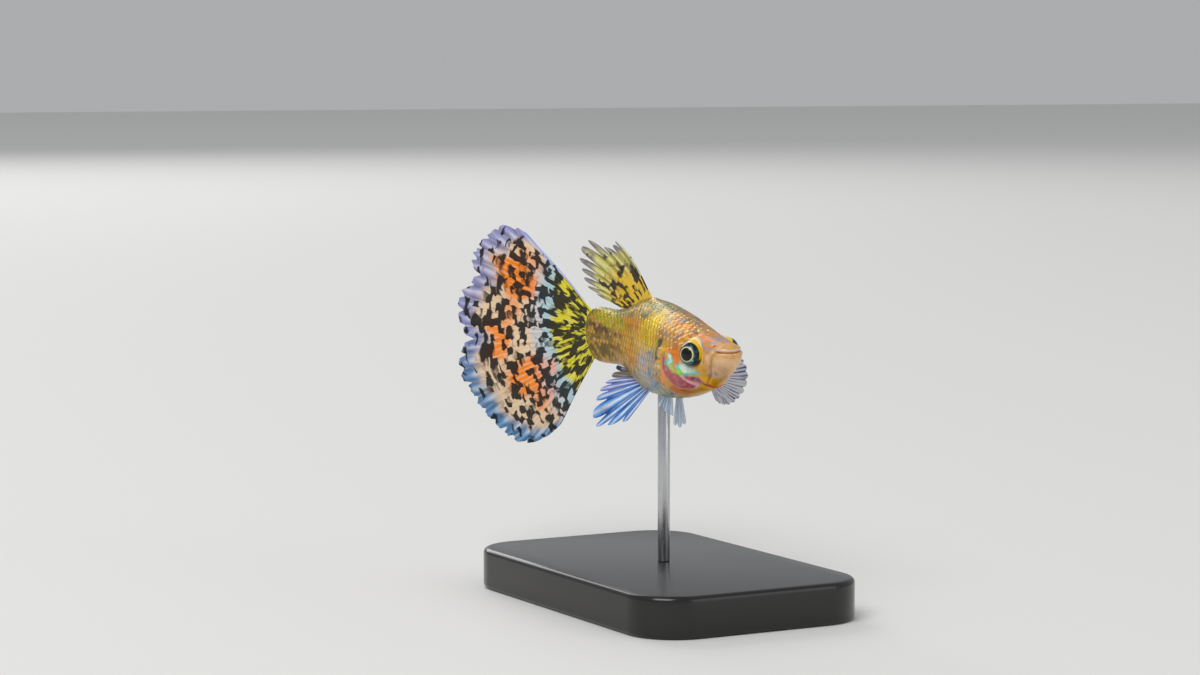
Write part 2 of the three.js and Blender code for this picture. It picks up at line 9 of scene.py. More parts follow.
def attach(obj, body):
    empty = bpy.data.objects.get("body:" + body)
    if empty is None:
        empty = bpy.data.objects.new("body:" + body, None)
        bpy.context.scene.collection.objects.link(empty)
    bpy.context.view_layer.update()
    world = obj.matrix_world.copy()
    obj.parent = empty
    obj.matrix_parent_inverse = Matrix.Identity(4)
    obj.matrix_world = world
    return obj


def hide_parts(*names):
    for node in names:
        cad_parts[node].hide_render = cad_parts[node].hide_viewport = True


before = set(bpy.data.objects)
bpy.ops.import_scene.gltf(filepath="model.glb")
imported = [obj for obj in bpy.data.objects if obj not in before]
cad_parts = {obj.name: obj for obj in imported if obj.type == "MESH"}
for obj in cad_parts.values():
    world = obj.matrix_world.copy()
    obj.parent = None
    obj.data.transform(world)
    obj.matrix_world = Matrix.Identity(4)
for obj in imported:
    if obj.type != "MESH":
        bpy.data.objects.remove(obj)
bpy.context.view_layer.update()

# The stand's base: a plain slab of black cast acrylic with its corners rounded and its edges
# eased, sanded and polished. It lies loose on the shelf.

MM = 0.001
BASE_LENGTH, BASE_WIDTH, BASE_HEIGHT = 38, 24, 4
BASE_CORNER, BASE_EDGE = 5, 0.5
NEARLY_LEVEL = 0.01


def hex_colour(code):
    """An sRGB hex colour as linear red, green, blue and alpha."""
    parts = [int(code[i:i + 2], 16) / 255 for i in (1, 3, 5)]
    return [c / 12.92 if c <= 0.04045 else ((c + 0.055) / 1.055) ** 2.4 for c in parts] + [1.0]


def add(tree, kind, inputs=None, **settings):
    """Adds one node: inputs holds values, outputs to link, or nodes whose first output is
    linked, by socket name or number."""
    node = tree.nodes.new("ShaderNode" + kind)
    for name, value in settings.items():
        setattr(node, name, value)
    for key, value in (inputs or {}).items():
        if isinstance(value, bpy.types.Node):
            value = value.outputs[0]
        if isinstance(value, bpy.types.NodeSocket):
            tree.links.new(value, node.inputs[key])
        else:
            node.inputs[key].default_value = value
    return node


def start_material(name):
    """An empty material, its node tree and its output node."""
    material = bpy.data.materials.new(name)
    material.use_nodes = True
    material.node_tree.nodes.clear()
    return material, material.node_tree, add(material.node_tree, "OutputMaterial")


def make_piece(bm, name, material, slot, *nodes, attributes=None):
    """Turns a bmesh in millimetres into a finished piece that rides with the stand."""
    bmesh.ops.scale(bm, vec=(MM, MM, MM), verts=bm.verts)
    mesh = bpy.data.meshes.new(name)
    bm.to_mesh(mesh)
    bm.free()
    mesh.shade_smooth()
    for key, values in (attributes or {}).items():
        kind, field = ("FLOAT_COLOR", "color") if values.shape[1] == 4 else ("FLOAT_VECTOR", "vector")
        layer = mesh.attributes.new(key, kind, "POINT")
        layer.data.foreach_set(field, np.ascontiguousarray(values, dtype=np.float32).ravel())
    mesh.materials.append(material)
    piece = bpy.data.objects.new(name, mesh)
    bpy.context.scene.collection.objects.link(piece)
    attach(piece, "root")
    if nodes:
        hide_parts(*nodes)
    return piece


# Cast acrylic is a clear hard gloss over solid black, with hairlines from polishing.
acrylic, tree, output = start_material("polished_black_acrylic")
place = add(tree, "TexCoord").outputs["Object"]
haze = add(tree, "TexNoise", {"Vector": place, "Scale": 1 / (9 * MM), "Detail": 4.0})
grit = add(tree, "TexNoise", {"Vector": place, "Scale": 1 / (0.5 * MM)})
gloss = add(tree, "MapRange", {0: haze, 1: 0.3, 2: 0.7, 3: 0.18, 4: 0.21})
relief = add(tree, "Bump", {"Strength": 0.04, "Distance": 0.02 * MM, "Height": grit})
shader = add(tree, "BsdfPrincipled", {
    "Base Color": hex_colour("#1a1918"), "Roughness": gloss, "IOR": 1.49, "Normal": relief,
})
tree.links.new(shader.outputs[0], output.inputs[0])

bm = bmesh.new()
bmesh.ops.create_cube(bm, size=1.0)
bmesh.ops.scale(bm, vec=(BASE_LENGTH, BASE_WIDTH, BASE_HEIGHT), verts=bm.verts)
bmesh.ops.translate(bm, vec=(0, 0, BASE_HEIGHT / 2), verts=bm.verts)
upright = [e for e in bm.edges if abs(e.verts[0].co.z - e.verts[1].co.z) > 1]
bmesh.ops.bevel(bm, geom=upright, offset=BASE_CORNER, affect="EDGES", segments=16, profile=0.5, material=-1)
rims = [e for e in bm.edges if abs(e.verts[0].co.z - e.verts[1].co.z) < NEARLY_LEVEL
        and any(abs(f.normal.z) < 0.5 for f in e.link_faces)
        and any(abs(f.normal.z) > 0.5 for f in e.link_faces)]
bmesh.ops.bevel(bm, geom=rims, offset=BASE_EDGE, affect="EDGES", segments=5, profile=0.5, material=-1)
make_piece(bm, "base_slab", acrylic, "stand_base", "stand_base")

# The rod: bright drawn stainless wire, set in a hole in the base and pushed up into the
# fish's belly between the pelvic fins and the anal fin.

ROD_RADIUS = 0.6
ROD_STATION = 14.8
ROD_TOP = 20.6
ROD_EDGE = 0.1

# Drawn steel has fine scratches along its length, so it shines in long streaks.
steel, tree, output = start_material("drawn_stainless_steel")
place = add(tree, "TexCoord").outputs["Object"]
along = add(tree, "Mapping", {"Vector": place, "Scale": (1, 1, 0.06)})
streak = add(tree, "TexNoise", {"Vector": along, "Scale": 1 / (0.12 * MM), "Detail": 3.0})
gloss = add(tree, "MapRange", {0: streak, 1: 0.3, 2: 0.7, 3: 0.2, 4: 0.34})
relief = add(tree, "Bump", {"Strength": 0.1, "Distance": 0.01 * MM, "Height": streak})
shader = add(tree, "BsdfPrincipled", {
    "Base Color": hex_colour("#c4c5c7"), "Metallic": 1.0, "Roughness": gloss, "Normal": relief,
})
tree.links.new(shader.outputs[0], output.inputs[0])

bm = bmesh.new()
height = ROD_TOP - BASE_HEIGHT
bmesh.ops.create_cone(bm, cap_ends=True, segments=48, radius1=ROD_RADIUS, radius2=ROD_RADIUS, depth=height)
bmesh.ops.translate(bm, vec=(0, 0, BASE_HEIGHT + height / 2), verts=bm.verts)
ends = [e for e in bm.edges if abs(e.verts[0].co.z - e.verts[1].co.z) < NEARLY_LEVEL]
bmesh.ops.bevel(bm, geom=ends, offset=ROD_EDGE, affect="EDGES", segments=2, profile=0.5, material=-1)
make_piece(bm, "rod", steel, "stand_rod", "stand_rod")

# The fish's skin: one wet hide over head, body and tail stalk, gold and olive under its
# scales. Mouth, nostrils, eye rims and gill covers are folds in it. It grows on the body.

BODY_LENGTH = 30
SWIM_HEIGHT = 25
BANK, PITCH = 3, 1
NOSE_CAP, STALK_CAP = 1.1, 2.6
SQUARENESS = 2.25
EYE_STATION, EYE_LEVEL = 4.4, 0.6
MOUTH_LEVEL, MOUTH_DEPTH = 0.95, 1.35


def through(knots):
    """A smooth function through pairs of place and value, level beyond both ends."""
    at = np.array([knot[0] for knot in knots], float)
    value = np.array([knot[1] for knot in knots], float)
    before = np.maximum(np.arange(len(at)) - 1, 0)
    after = np.minimum(np.arange(len(at)) + 1, len(at) - 1)
    slope = (value[after] - value[before]) / (at[after] - at[before])

    def curve(x):
        x = np.clip(x, at[0], at[-1])
        i = np.clip(np.searchsorted(at, x, side="right") - 1, 0, len(at) - 2)
        span = at[i + 1] - at[i]
        t = (x - at[i]) / span
        bend = t * (1 - t) * span * ((1 - t) * slope[i] - t * slope[i + 1])
        return value[i] + t * t * (3 - 2 * t) * (value[i + 1] - value[i]) + bend
    return curve


heading = through([(0, 6), (4, 0), (10, -8), (17, -2), (24, 2), (30, 7), (38, 18), (48, 28)])
back_line = through([
    (0, 1.45), (1.5, 1.75), (3.6, 2.15), (5.5, 2.6), (7.3, 3.05), (10.8, 3.8), (15.9, 4.45),
    (18.5, 4.05), (21, 3.3), (24, 2.8), (27, 2.8), (30, 2.6),
])
belly_line = through([
    (0, -0.3), (1.2, -1.3), (2.4, -2.1), (4, -2.8), (5.8, -3.45), (8.3, -4.15), (11.1, -4.6), (14.9, -4.75),
    (17.5, -4.6), (19.5, -3.9), (21.4, -3.05), (23.4, -2.75), (27, -2.8), (30, -2.55),
])
half_width = through([
    (0, 1.15), (1.2, 1.5), (2.4, 1.98), (3.7, 2.4), (5.8, 2.75), (8.3, 2.95), (11, 3.0), (15, 2.75),
    (18, 2.3), (21, 1.75), (24, 1.35), (27, 1.05), (30, 0.7),
])
widest_level = through([
    (0, 0.75), (2.4, 0.1), (5, -0.3), (9, -0.7), (14, -0.9), (19, -0.2), (24, 0.2), (30, 0.2),
])

SPINE_STEP = 0.25
spine_s = np.arange(-2, 50.01, SPINE_STEP)
turns = np.radians(heading(spine_s + SPINE_STEP / 2))
spine_x = -np.concatenate([[0], np.cumsum(np.cos(turns))[:-1]]) * SPINE_STEP
spine_y = -np.concatenate([[0], np.cumsum(np.sin(turns))[:-1]]) * SPINE_STEP


def fish_point(s, left, up):
    """World millimetres of points s along the spine, out to the left and up from it."""
    angle = np.radians(heading(s))
    x = np.interp(s, spine_s, spine_x) - np.interp(ROD_STATION, spine_s, spine_x) - left * np.sin(angle)
    y = np.interp(s, spine_s, spine_y) - np.interp(ROD_STATION, spine_s, spine_y) + left * np.cos(angle)
    bank, pitch = math.radians(BANK), math.radians(PITCH)
    y, z = y * math.cos(bank) - up * math.sin(bank), y * math.sin(bank) + up * math.cos(bank)
    x, z = x * math.cos(pitch) + z * math.sin(pitch), z * math.cos(pitch) - x * math.sin(pitch)
    return np.stack([x, y, z + SWIM_HEIGHT], axis=-1)


def body_section(s, angle):
    """How far out and up the body's surface is at a station, turned from its left side."""
    nose = np.sqrt(np.clip(1 - (1 - np.minimum(s / NOSE_CAP, 1)) ** 2, 0, 1))
    stalk = np.sqrt(np.clip(1 - (1 - np.minimum((BODY_LENGTH - s) / STALK_CAP, 1)) ** 2, 0, 1))
    cos, sin = np.cos(angle), np.sin(angle)
    level, power = widest_level(s), 2 / SQUARENESS
    reach = np.where(sin > 0, back_line(s) - level, level - belly_line(s))
    out = np.sign(cos) * np.abs(cos) ** power * half_width(s) * nose * stalk
    up = level + np.sign(sin) * np.abs(sin) ** power * reach * nose * stalk
    return out, up


def step(x, low, high):
    t = np.clip((x - low) / (high - low), 0, 1)
    return t * t * (3 - 2 * t)


def ridge(distance, width):
    return np.exp(-(distance / width) ** 2)


def round_outline(points, per_side=8):
    """A closed smooth outline through points in the side view."""
    p = np.array(points, float)
    before, after, later = np.roll(p, 1, 0), np.roll(p, -1, 0), np.roll(p, -2, 0)
    t = np.linspace(0, 1, per_side, endpoint=False)[None, :, None]
    p, before, after, later = (q[:, None, :] for q in (p, before, after, later))
    curve = 0.5 * (2 * p + (after - before) * t + (2 * before - 5 * p + 4 * after - later) * t ** 2
                   + (3 * p - before - 3 * after + later) * t ** 3)
    return curve.reshape(-1, 2)


def away_from(line, a, b, closed=False):
    """Distance of points from a line in the side view; inside a closed one it is negative."""
    line = np.array(line, float)
    ends = np.roll(line, -1, 0) if closed else line[1:]
    nearest = np.full(np.shape(a), 1e9)
    inside = np.zeros(np.shape(a), bool)
    for (a0, b0), (a1, b1) in zip(line, ends):
        t = np.clip(((a - a0) * (a1 - a0) + (b - b0) * (b1 - b0)) / ((a1 - a0) ** 2 + (b1 - b0) ** 2), 0, 1)
        nearest = np.minimum(nearest, np.hypot(a - a0 - t * (a1 - a0), b - b0 - t * (b1 - b0)))
        if closed and b0 != b1:
            inside ^= ((b0 > b) != (b1 > b)) & (a < (a1 - a0) * (b - b0) / (b1 - b0) + a0)
    return np.where(inside, -nearest, nearest)


def cloud(points, size, seed):
    """Smooth noise from -1 to 1 over points in millimetres."""
    shift = Vector((seed * 7.3, seed * 3.1, seed * 5.7))
    return np.array([noise.noise(Vector(p) / size + shift) for p in points])


GILL_COVER = round_outline([
    (6.3, 0.8), (7.2, 1.0), (8.1, 0.5), (8.5, -0.6), (8.1, -1.8), (6.9, -2.8), (5.4, -2.95),
    (4.3, -2.5), (5.2, -1.6), (5.9, -0.5),
])
PINK_CHEEK = round_outline([
    (7.9, 0.6), (8.45, -0.6), (8.05, -1.8), (6.9, -2.75), (5.4, -2.9), (3.7, -2.4), (3.8, -1.6),
    (5.4, -1.35), (6.6, -1.2), (7.5, -0.4),
])
JAW_LINE = [(1.3, 0.85), (1.85, -0.3), (2.5, -1.4), (3.4, -2.2), (4.0, -3.2)]
GILL_LINE = [(7.1, 3.5), (7.9, 1.2), (8.2, 0.2)]
PREOPERCLE = [(5.9, 0.2), (5.75, -1.2), (5.0, -2.2), (3.9, -2.7)]
UPPER_JAW = [(0.9, 1.2), (1.5, 0.6), (1.75, -0.2)]
JAW_TAPER = 0.36
LIP_TILT, LIP_END = 0.08, 0.25
NOSTRIL_STATION, NOSTRIL_TURNS = 1.75, (48, 132)
EYE_OUT, EYE_RADIUS = 1.82, 1.24
EYE_TURN = math.radians(28)
SOCKET_REACH = 1.2
SCALE_DEPTH = 0.06
# Each crease or ridge of the face: its line, how far it rises and its width.
FACE_FOLDS = [(JAW_LINE, -0.08, 0.13), (UPPER_JAW, 0.05, 0.2), (GILL_LINE, -0.05, 0.12),
              (PREOPERCLE, -0.04, 0.13)]


def eye_place(a, out, up, side):
    """Height along an eye's own axis and distance from it, of points in the straight fish."""
    forward, outward = EYE_STATION - a, out * side - EYE_OUT
    high = forward * math.sin(EYE_TURN) + outward * math.cos(EYE_TURN)
    aside = forward * math.cos(EYE_TURN) - outward * math.sin(EYE_TURN)
    return high, np.hypot(aside, up - EYE_LEVEL), outward > -SOCKET_REACH


def from_nostril(a, out, up):
    """Distance of points from the nearer nostril."""
    pits = [body_section(np.array([NOSTRIL_STATION]), np.radians([turn])) for turn in NOSTRIL_TURNS]
    return np.minimum(*(np.sqrt((a - NOSTRIL_STATION) ** 2 + (out - pit[0]) ** 2 + (up - pit[1]) ** 2)
                        for pit in pits))


def mouth_place(a, up):
    """Height of points over the mouth line, and 1 on the lips fading to 0 behind them."""
    lips = 1 - step(a, MOUTH_DEPTH - LIP_END, MOUTH_DEPTH + LIP_END)
    return up - MOUTH_LEVEL - LIP_TILT * a / MOUTH_DEPTH, lips


def scaled_share(a, out, up):
    """1 where the skin bears scales, 0 on the face and the gill covers."""
    behind = np.where(up > 0.9, 5.2 - 0.3 * up, 8.4)
    cover = away_from(GILL_COVER, a, up, closed=True)
    return step(a, behind - 0.2, behind + 0.5) * step(cover, 0.05, 0.3)


def skin_point(a, out, up, normal):
    """The sculpted skin in world millimetres, from points and normals of the smooth body."""
    side_on = step(np.abs(out), 0.25, 0.9)
    lift = -SCALE_DEPTH * scaled_share(a, out, up)
    over_mouth, lips = mouth_place(a, up)
    swell = 0.05 * ridge(over_mouth - 0.22, 0.15) + 0.07 * ridge(over_mouth + 0.25, 0.18)
    lift += (1 - step(a, 0.5, 2.0)) * swell - lips * 0.26 * ridge(over_mouth, 0.085)
    for line, rise, width in FACE_FOLDS:
        lift += rise * side_on * ridge(away_from(line, a, up), width)
    cover = -away_from(GILL_COVER, a, up, closed=True)
    lift += side_on * 0.1 * step(cover, -0.05, 0.16) * (1 - 0.75 * step(cover, 0.2, 1.1))
    lift -= side_on * 0.1 * ridge(cover + 0.14, 0.11)
    nostril = from_nostril(a, out, up)
    lift += 0.05 * ridge(nostril - 0.2, 0.09) - 0.17 * ridge(nostril, 0.12)
    under = step(-up, 1.5, 2.2)
    lift += under * (0.2 * ridge(a - 3.4, 0.35) - 0.4 * ridge(a - 4.2, 0.26))
    middle = ridge(out, 0.34)
    lift += 0.22 * middle * step(up, 1, 2) * step(a, 15.4, 16.6) * (1 - step(a, 20.6, 21.8))
    lift += 0.3 * middle * step(-up, 1, 2) * step(a, 16.4, 17.4) * (1 - step(a, 18.9, 20.2))
    lift += 0.12 * side_on * ridge(np.hypot(a - 8.9, up + 2.6), 0.7)
    chin = step(MOUTH_LEVEL - up, 0.2, 2.6) * step(a, 0.2, 1.0) * (1 - step(a, 3.0, 5.2))
    shaped = np.stack([a, out * (1 - JAW_TAPER * chin), up], 1) + normal * lift[:, None]
    for side in (-1, 1):
        high, off_axis, near = eye_place(*shaped.T, side)
        sink = np.maximum(high - 0.3, 0) * (1 - step(off_axis, 1.16, 1.9))
        sink = np.where(near, sink - 0.05 * ridge(off_axis - 1.34, 0.12), 0)
        shaped[:, 0] += sink * math.sin(EYE_TURN)
        shaped[:, 1] -= sink * math.cos(EYE_TURN) * side
    return fish_point(*shaped.T)


def ground(code, places):
    """One colour for each of the places."""
    return np.tile(np.array(hex_colour(code)), (len(places), 1))


def coats(under, *layers):
    """Paint with layers laid over it in turn, each a colour and how much of it covers."""
    for code, amount in layers:
        under = under + (np.array(hex_colour(code)) - under) * np.clip(amount, 0, 1)[:, None]
    return under


# Each patch: colour, station, height, half length, half height, tilt and strength.
BODY_PATCHES = [
    ("#aab8cc", 12.9, -1.6, 2.2, 2.3, 0, 0.9),
    ("#5c94c4", 11.1, -1.0, 1.0, 2.4, 8, 0.9),
    ("#ffdc00", 12.5, 1.7, 3.1, 1.6, -15, 1.0),
    ("#f2c400", 14.8, 1.3, 2.2, 1.5, 0, 0.9),
    ("#f6c400", 10.0, 1.4, 1.9, 1.3, 0, 0.95),
    ("#d8cc22", 9.7, 0.6, 1.0, 0.9, 0, 0.75),
    ("#eeb408", 8.0, 1.5, 1.6, 1.0, 0, 0.85),
    ("#f08000", 17.2, 2.3, 2.6, 0.45, 4, 0.95),
    ("#dfa520", 17.4, 1.2, 2.4, 0.6, 0, 0.75),
    ("#c2c410", 23.6, 1.9, 4.4, 0.65, 3, 0.9),
    ("#66332c", 24.4, 0.8, 4.6, 0.45, 2, 0.85),
    ("#5c480c", 25.2, -1.0, 4.4, 1.2, 0, 0.75),
    ("#8e5a24", 24.6, -0.5, 4.6, 0.3, 1, 0.8),
    ("#e0822a", 16.9, -0.9, 1.3, 1.0, 0, 0.8),
    ("#e2b816", 15.4, 0.1, 0.6, 0.9, 0, 0.8),
    ("#67592c", 20.8, -2.4, 1.8, 0.7, 20, 0.7),
    ("#efe0a0", 9.5, -1.2, 0.45, 0.5, 0, 0.85),
    ("#d79a5c", 6.6, 2.0, 1.3, 0.7, -18, 0.75),
    ("#dba062", 3.0, 1.5, 2.6, 1.2, -12, 0.85),
    ("#e2b27a", 1.2, 0.3, 1.9, 1.5, 0, 0.9),
    ("#e8bd90", 1.3, -0.6, 1.7, 1.3, 0, 0.95),
    ("#dc9c34", 3.0, -0.1, 1.0, 0.8, 0, 0.8),
    ("#9aa0b4", 2.6, -1.25, 0.45, 0.35, 0, 0.7),
    ("#a39aa8", 1.7, -1.1, 0.4, 0.3, -30, 0.55),
    ("#f0861c", 6.3, 0.5, 1.2, 1.1, 0, 0.95),
    ("#e6802a", 5.6, -0.5, 0.7, 0.6, 0, 0.85),
    ("#ee8410", 8.9, -2.2, 0.6, 1.1, 15, 0.95),
    ("#e2761c", 7.4, -3.2, 1.5, 0.5, -14, 0.9),
]
# The face's patches, in the same columns. The teal ones with near-white cores, on the gill cover and below
# the eye, are painted highlights of the wet gloss.
CHEEK_PATCHES_AND_HIGHLIGHTS = [
    ("#58c8b6", 7.05, -0.2, 0.6, 0.75, 0, 1.0),
    ("#e2fbf0", 7.1, -0.1, 0.4, 0.5, 0, 0.95),
    ("#b4d422", 6.75, -1.0, 0.3, 0.5, -25, 0.95),
    ("#4fc4b4", 4.9, -0.9, 1.2, 0.55, 8, 1.0),
    ("#dcf8ee", 4.8, -0.8, 0.85, 0.36, 8, 0.95),
    ("#8edc1e", 5.35, -1.1, 0.5, 0.32, 0, 0.9),
    ("#7c8cac", 4.2, -1.95, 0.5, 0.3, 0, 0.85),
    ("#d4502c", 3.6, -2.4, 0.7, 0.35, 20, 0.9),
]
# The dark spots behind the gill cover: station, height, half length and half height.
DARK_SPOTS = [(9.4, 1.0, 0.5, 0.5), (9.4, 0.0, 0.5, 0.6), (10.4, -2.4, 0.7, 0.65)]


def markings(a, out, up, points):
    """The fish's colours: soft patches laid over one another in the side view, ragged at
    their edges, then the face's own fine marks, with painted shade in its pits and creases: dark nostrils,
    a dark mouth slit and dark rings in the eye sockets. The teal patches with white cores on the cheek are
    painted highlights."""
    rough = 0.4 + 0.6 * step(a, 5.5, 9) - 0.5 * step(a, 16, 19)
    fine_a = 0.5 * cloud(points, 0.6, 2) + 0.5 * cloud(points, 0.24, 5)
    fine_b = 0.25 * cloud(points, 0.5, 4) + 0.2 * cloud(points, 0.22, 7)
    ragged_a = a + 0.55 * cloud(points, 1.5, 1) + rough * fine_a
    ragged_b = up + 0.4 * cloud(points, 1.2, 3) + rough * fine_b
    height = (ragged_b - belly_line(a)) / (back_line(a) - belly_line(a))
    side_on = step(np.abs(out), 0.25, 0.9)

    def patch(middle, level, along, across, tilt=0.0):
        cos, sin = math.cos(math.radians(tilt)), math.sin(math.radians(tilt))
        da, db = ragged_a - middle, ragged_b - level
        reach = np.hypot((da * cos + db * sin) / along, (db * cos - da * sin) / across)
        return 1 - step(reach, 0.65, 1.25)

    cover = -away_from(GILL_COVER, a, up, closed=True)
    soft = 0.15 * cloud(points, 0.6, 9)
    pink = step(-away_from(PINK_CHEEK, a + soft, up + soft, closed=True), -0.05, 0.2)
    over_mouth, lips = mouth_place(a, up)
    wavy = np.sin((back_line(a) - up) * 9 + 1.6 * np.sin(a * 2.1) + 3.2 * cloud(points, 0.9, 6))
    crown = step(height, 0.66, 0.82) * (1 - step(a, 9, 12)) * step(a, 1.0, 2.0)
    paint = coats(
        ground("#dca000", a),
        ("#8e8c5c", step(height, 0.68, 0.9) * step(a, 6.5, 9.5)),
        ("#86762a", step(a, 18, 24) * 0.85),
        ("#8a9c84", (1 - step(height, 0.16, 0.42)) * step(a, 7, 10) * (1 - step(a, 16, 19))),
        ("#a67a34", (1 - step(height, 0.05, 0.3)) * step(a, 16, 18.5)),
        *((code, patch(*place) * amount) for code, *place, amount in BODY_PATCHES),
        ("#b03a56", pink * 0.95),
        ("#dd8c96", pink * step(cloud(points, 0.3, 8), 0.0, 0.5) * 0.5),
        ("#eab6bc", ridge(cover - 0.1, 0.1) * step(-up, 0.2, 1.0) * side_on * 0.9),
        # The white-cored teal patches among these are painted highlights.
        *((code, patch(*place) * amount) for code, *place, amount in CHEEK_PATCHES_AND_HIGHLIGHTS),
        ("#a8532c", ridge(away_from(JAW_LINE, a, up), 0.1) * side_on * 0.45),
        ("#b9862a", ridge(away_from(UPPER_JAW, a, up), 0.22) * side_on * 0.6),
        ("#d3c9da", lips * ridge(over_mouth - 0.13, 0.07) * 0.7),
        # The dark line in the mouth slit is painted shade.
        ("#8a5238", lips * ridge(over_mouth, 0.05) * 0.6),
        # The dark nostril pits are painted shade.
        ("#4a2818", ridge(from_nostril(a, out, up), 0.13) * 0.9),
        ("#8f8496", crown * 0.6),
        ("#e08404", step(wavy, 0.1, 0.6) * crown * 0.95),
    )
    for side in (-1, 1):
        _, off_axis, near = eye_place(a, out, up, side)
        front = step(EYE_STATION - a + 0.9 * (up - EYE_LEVEL), 0.2, 1.0)
        over = 0.15 + 0.65 * step(up - EYE_LEVEL, -1.0, -0.3)
        paint = coats(
            paint,
            ("#e8761a", ridge(off_axis - 1.5, 0.4) * near * (1 - front) * over),
            ("#f6cc2c", ridge(off_axis - 1.28, 0.16) * near * front),
            ("#f4e6ac", ridge(off_axis - 1.42, 0.09) * near * front * 0.8),
            # The dark ring where the skin tucks under the eyeball is painted shade.
            ("#1d1a14", (1 - step(off_axis, 1.05, 1.2)) * near * 0.9),
        )
    return coats(paint, *(("#16233f", patch(*place) * 0.9) for place in DARK_SPOTS))


bm = bmesh.new()
bmesh.ops.create_uvsphere(bm, u_segments=240, v_segments=320, radius=1.0)
ball = np.array([v.co for v in bm.verts])
polar = np.arccos(np.clip(ball[:, 2], -1, 1)) / math.pi
station = BODY_LENGTH * 0.5 * (1 - np.cos(math.pi * polar ** 1.2))
station[polar > 0.9999] = BODY_LENGTH
out, up = body_section(station, np.arctan2(ball[:, 1], ball[:, 0]))
for vert, place in zip(bm.verts, np.stack([station, out, up], 1)):
    vert.co = place
bmesh.ops.recalc_face_normals(bm, faces=bm.faces)
bm.normal_update()
skin_mm = skin_point(station, out, up, np.array([v.normal for v in bm.verts]))
for vert, point in zip(bm.verts, skin_mm):
    vert.co = point
bmesh.ops.recalc_face_normals(bm, faces=bm.faces)
paint = markings(station, out, up, skin_mm)

# Wet naked hide: a clear slime gloss over pigment, pored and mottled finer than a scale.
hide, tree, output = start_material("wet_fish_skin")
place = add(tree, "TexCoord").outputs["Object"]
painted = add(tree, "Attribute", attribute_name="paint").outputs["Color"]
mottle = add(tree, "TexNoise", {"Vector": place, "Scale": 1 / (0.45 * MM), "Detail": 4.0, "Roughness": 0.6})
pores = add(tree, "TexNoise", {"Vector": place, "Scale": 1 / (0.12 * MM)})
light = add(tree, "MapRange", {0: mottle, 1: 0.52, 2: 0.72, 4: 0.28})
dark = add(tree, "MapRange", {0: mottle, 1: 0.46, 2: 0.3, 4: 0.35})
colour = painted
for share, code in [(light, "#f1d9a0"), (dark, "#7a4620")]:
    colour = add(tree, "Mix", {0: share, 6: colour, 7: hex_colour(code)}, data_type="RGBA").outputs[2]
gloss = add(tree, "MapRange", {0: mottle, 1: 0.3, 2: 0.7, 3: 0.3, 4: 0.46})
relief = add(tree, "Bump", {"Strength": 0.25, "Distance": 0.03 * MM, "Height": pores})
shader = add(tree, "BsdfPrincipled", {
    "Base Color": colour, "Roughness": gloss, "IOR": 1.4, "Normal": relief, "Coat Weight": 0.2,
    "Coat Roughness": 0.14, "Metallic": 0.2, "Subsurface Weight": 0.12, "Subsurface Scale": 0.4 * MM,
    "Subsurface Radius": (1.0, 0.5, 0.3),
})
tree.links.new(shader.outputs[0], output.inputs[0])

make_piece(bm, "skin", hide, "body_skin", "head", "lower_jaw", "torso", "tail_stalk",
           "gill_cover_right", "gill_cover_left", attributes={"paint": paint})

# The scales: thin round plates of bony gelatine that lap like roof tiles from the nape and
# the gills to the root of the tail. Each is rooted in the skin at its front edge.

SCALE_COLUMNS, SCALE_ROWS = 34, 34
SCALES_FROM, SCALES_TO = 4.0, 29.0
SCALE_OVERLAP, SCALE_SPREAD = 1.7, 1.75
SCALE_THICKNESS = 0.03
BAKE_PATCH, BAKE_EDGE = 0.003, 0.02
RING_POINTS, PLATE_CUTS, PLATE_POINTS = 361, 4, 25

rng = np.random.default_rng(7)
column_gap = (SCALES_TO - SCALES_FROM) / SCALE_COLUMNS
turns_round = np.linspace(-math.pi / 2, math.pi * 1.5, RING_POINTS)
template = bmesh.new()
bmesh.ops.create_grid(template, x_segments=PLATE_CUTS, y_segments=PLATE_CUTS, size=1.0)
square = np.array([v.co for v in template.verts])
template.free()
disc_a = square[:, 0] * np.sqrt(1 - square[:, 1] ** 2 / 2)
disc_b = square[:, 1] * np.sqrt(1 - square[:, 0] ** 2 / 2)

plates = []
for column in range(SCALE_COLUMNS):
    for row in range(SCALE_ROWS):
        middle = SCALES_FROM + (column + 0.5 * (row % 2)) * column_gap + rng.normal(0, 0.025)
        ring_out, ring_up = body_section(np.full(RING_POINTS, middle), turns_round)
        run = np.concatenate([[0], np.cumsum(np.hypot(np.diff(ring_out), np.diff(ring_up)))])
        share = (row + 0.5 + rng.normal(0, 0.03)) / SCALE_ROWS
        root_turn = np.interp(share * run[-1], run, turns_round)
        root_out, root_up = body_section(np.array([middle]), np.array([root_turn]))
        if scaled_share(np.array([middle - 0.3]), root_out, root_up)[0] < 0.5:
            continue
        wide = run[-1] / SCALE_ROWS * SCALE_SPREAD / 2 * rng.normal(1, 0.04)
        a = middle + disc_a * column_gap * SCALE_OVERLAP / 2 * rng.normal(1, 0.04)
        around = np.interp(np.clip(share * run[-1] + disc_b * wide, 0, run[-1]), run, turns_round)
        slant = 0.5 + 0.5 * disc_a
        rise = SCALE_DEPTH * (1.2 * slant - 0.35) + 0.012 * (1 - disc_b ** 2)
        tone = rng.random()
        same = np.tile([tone, middle, share], (PLATE_POINTS, 1))
        plates.append(np.column_stack([a, around, rise, disc_a, disc_b, same]))
plates = np.concatenate(plates)

bm = bmesh.new()
for _ in range(len(plates) // PLATE_POINTS):
    bmesh.ops.create_grid(bm, x_segments=PLATE_CUTS, y_segments=PLATE_CUTS, size=1.0)


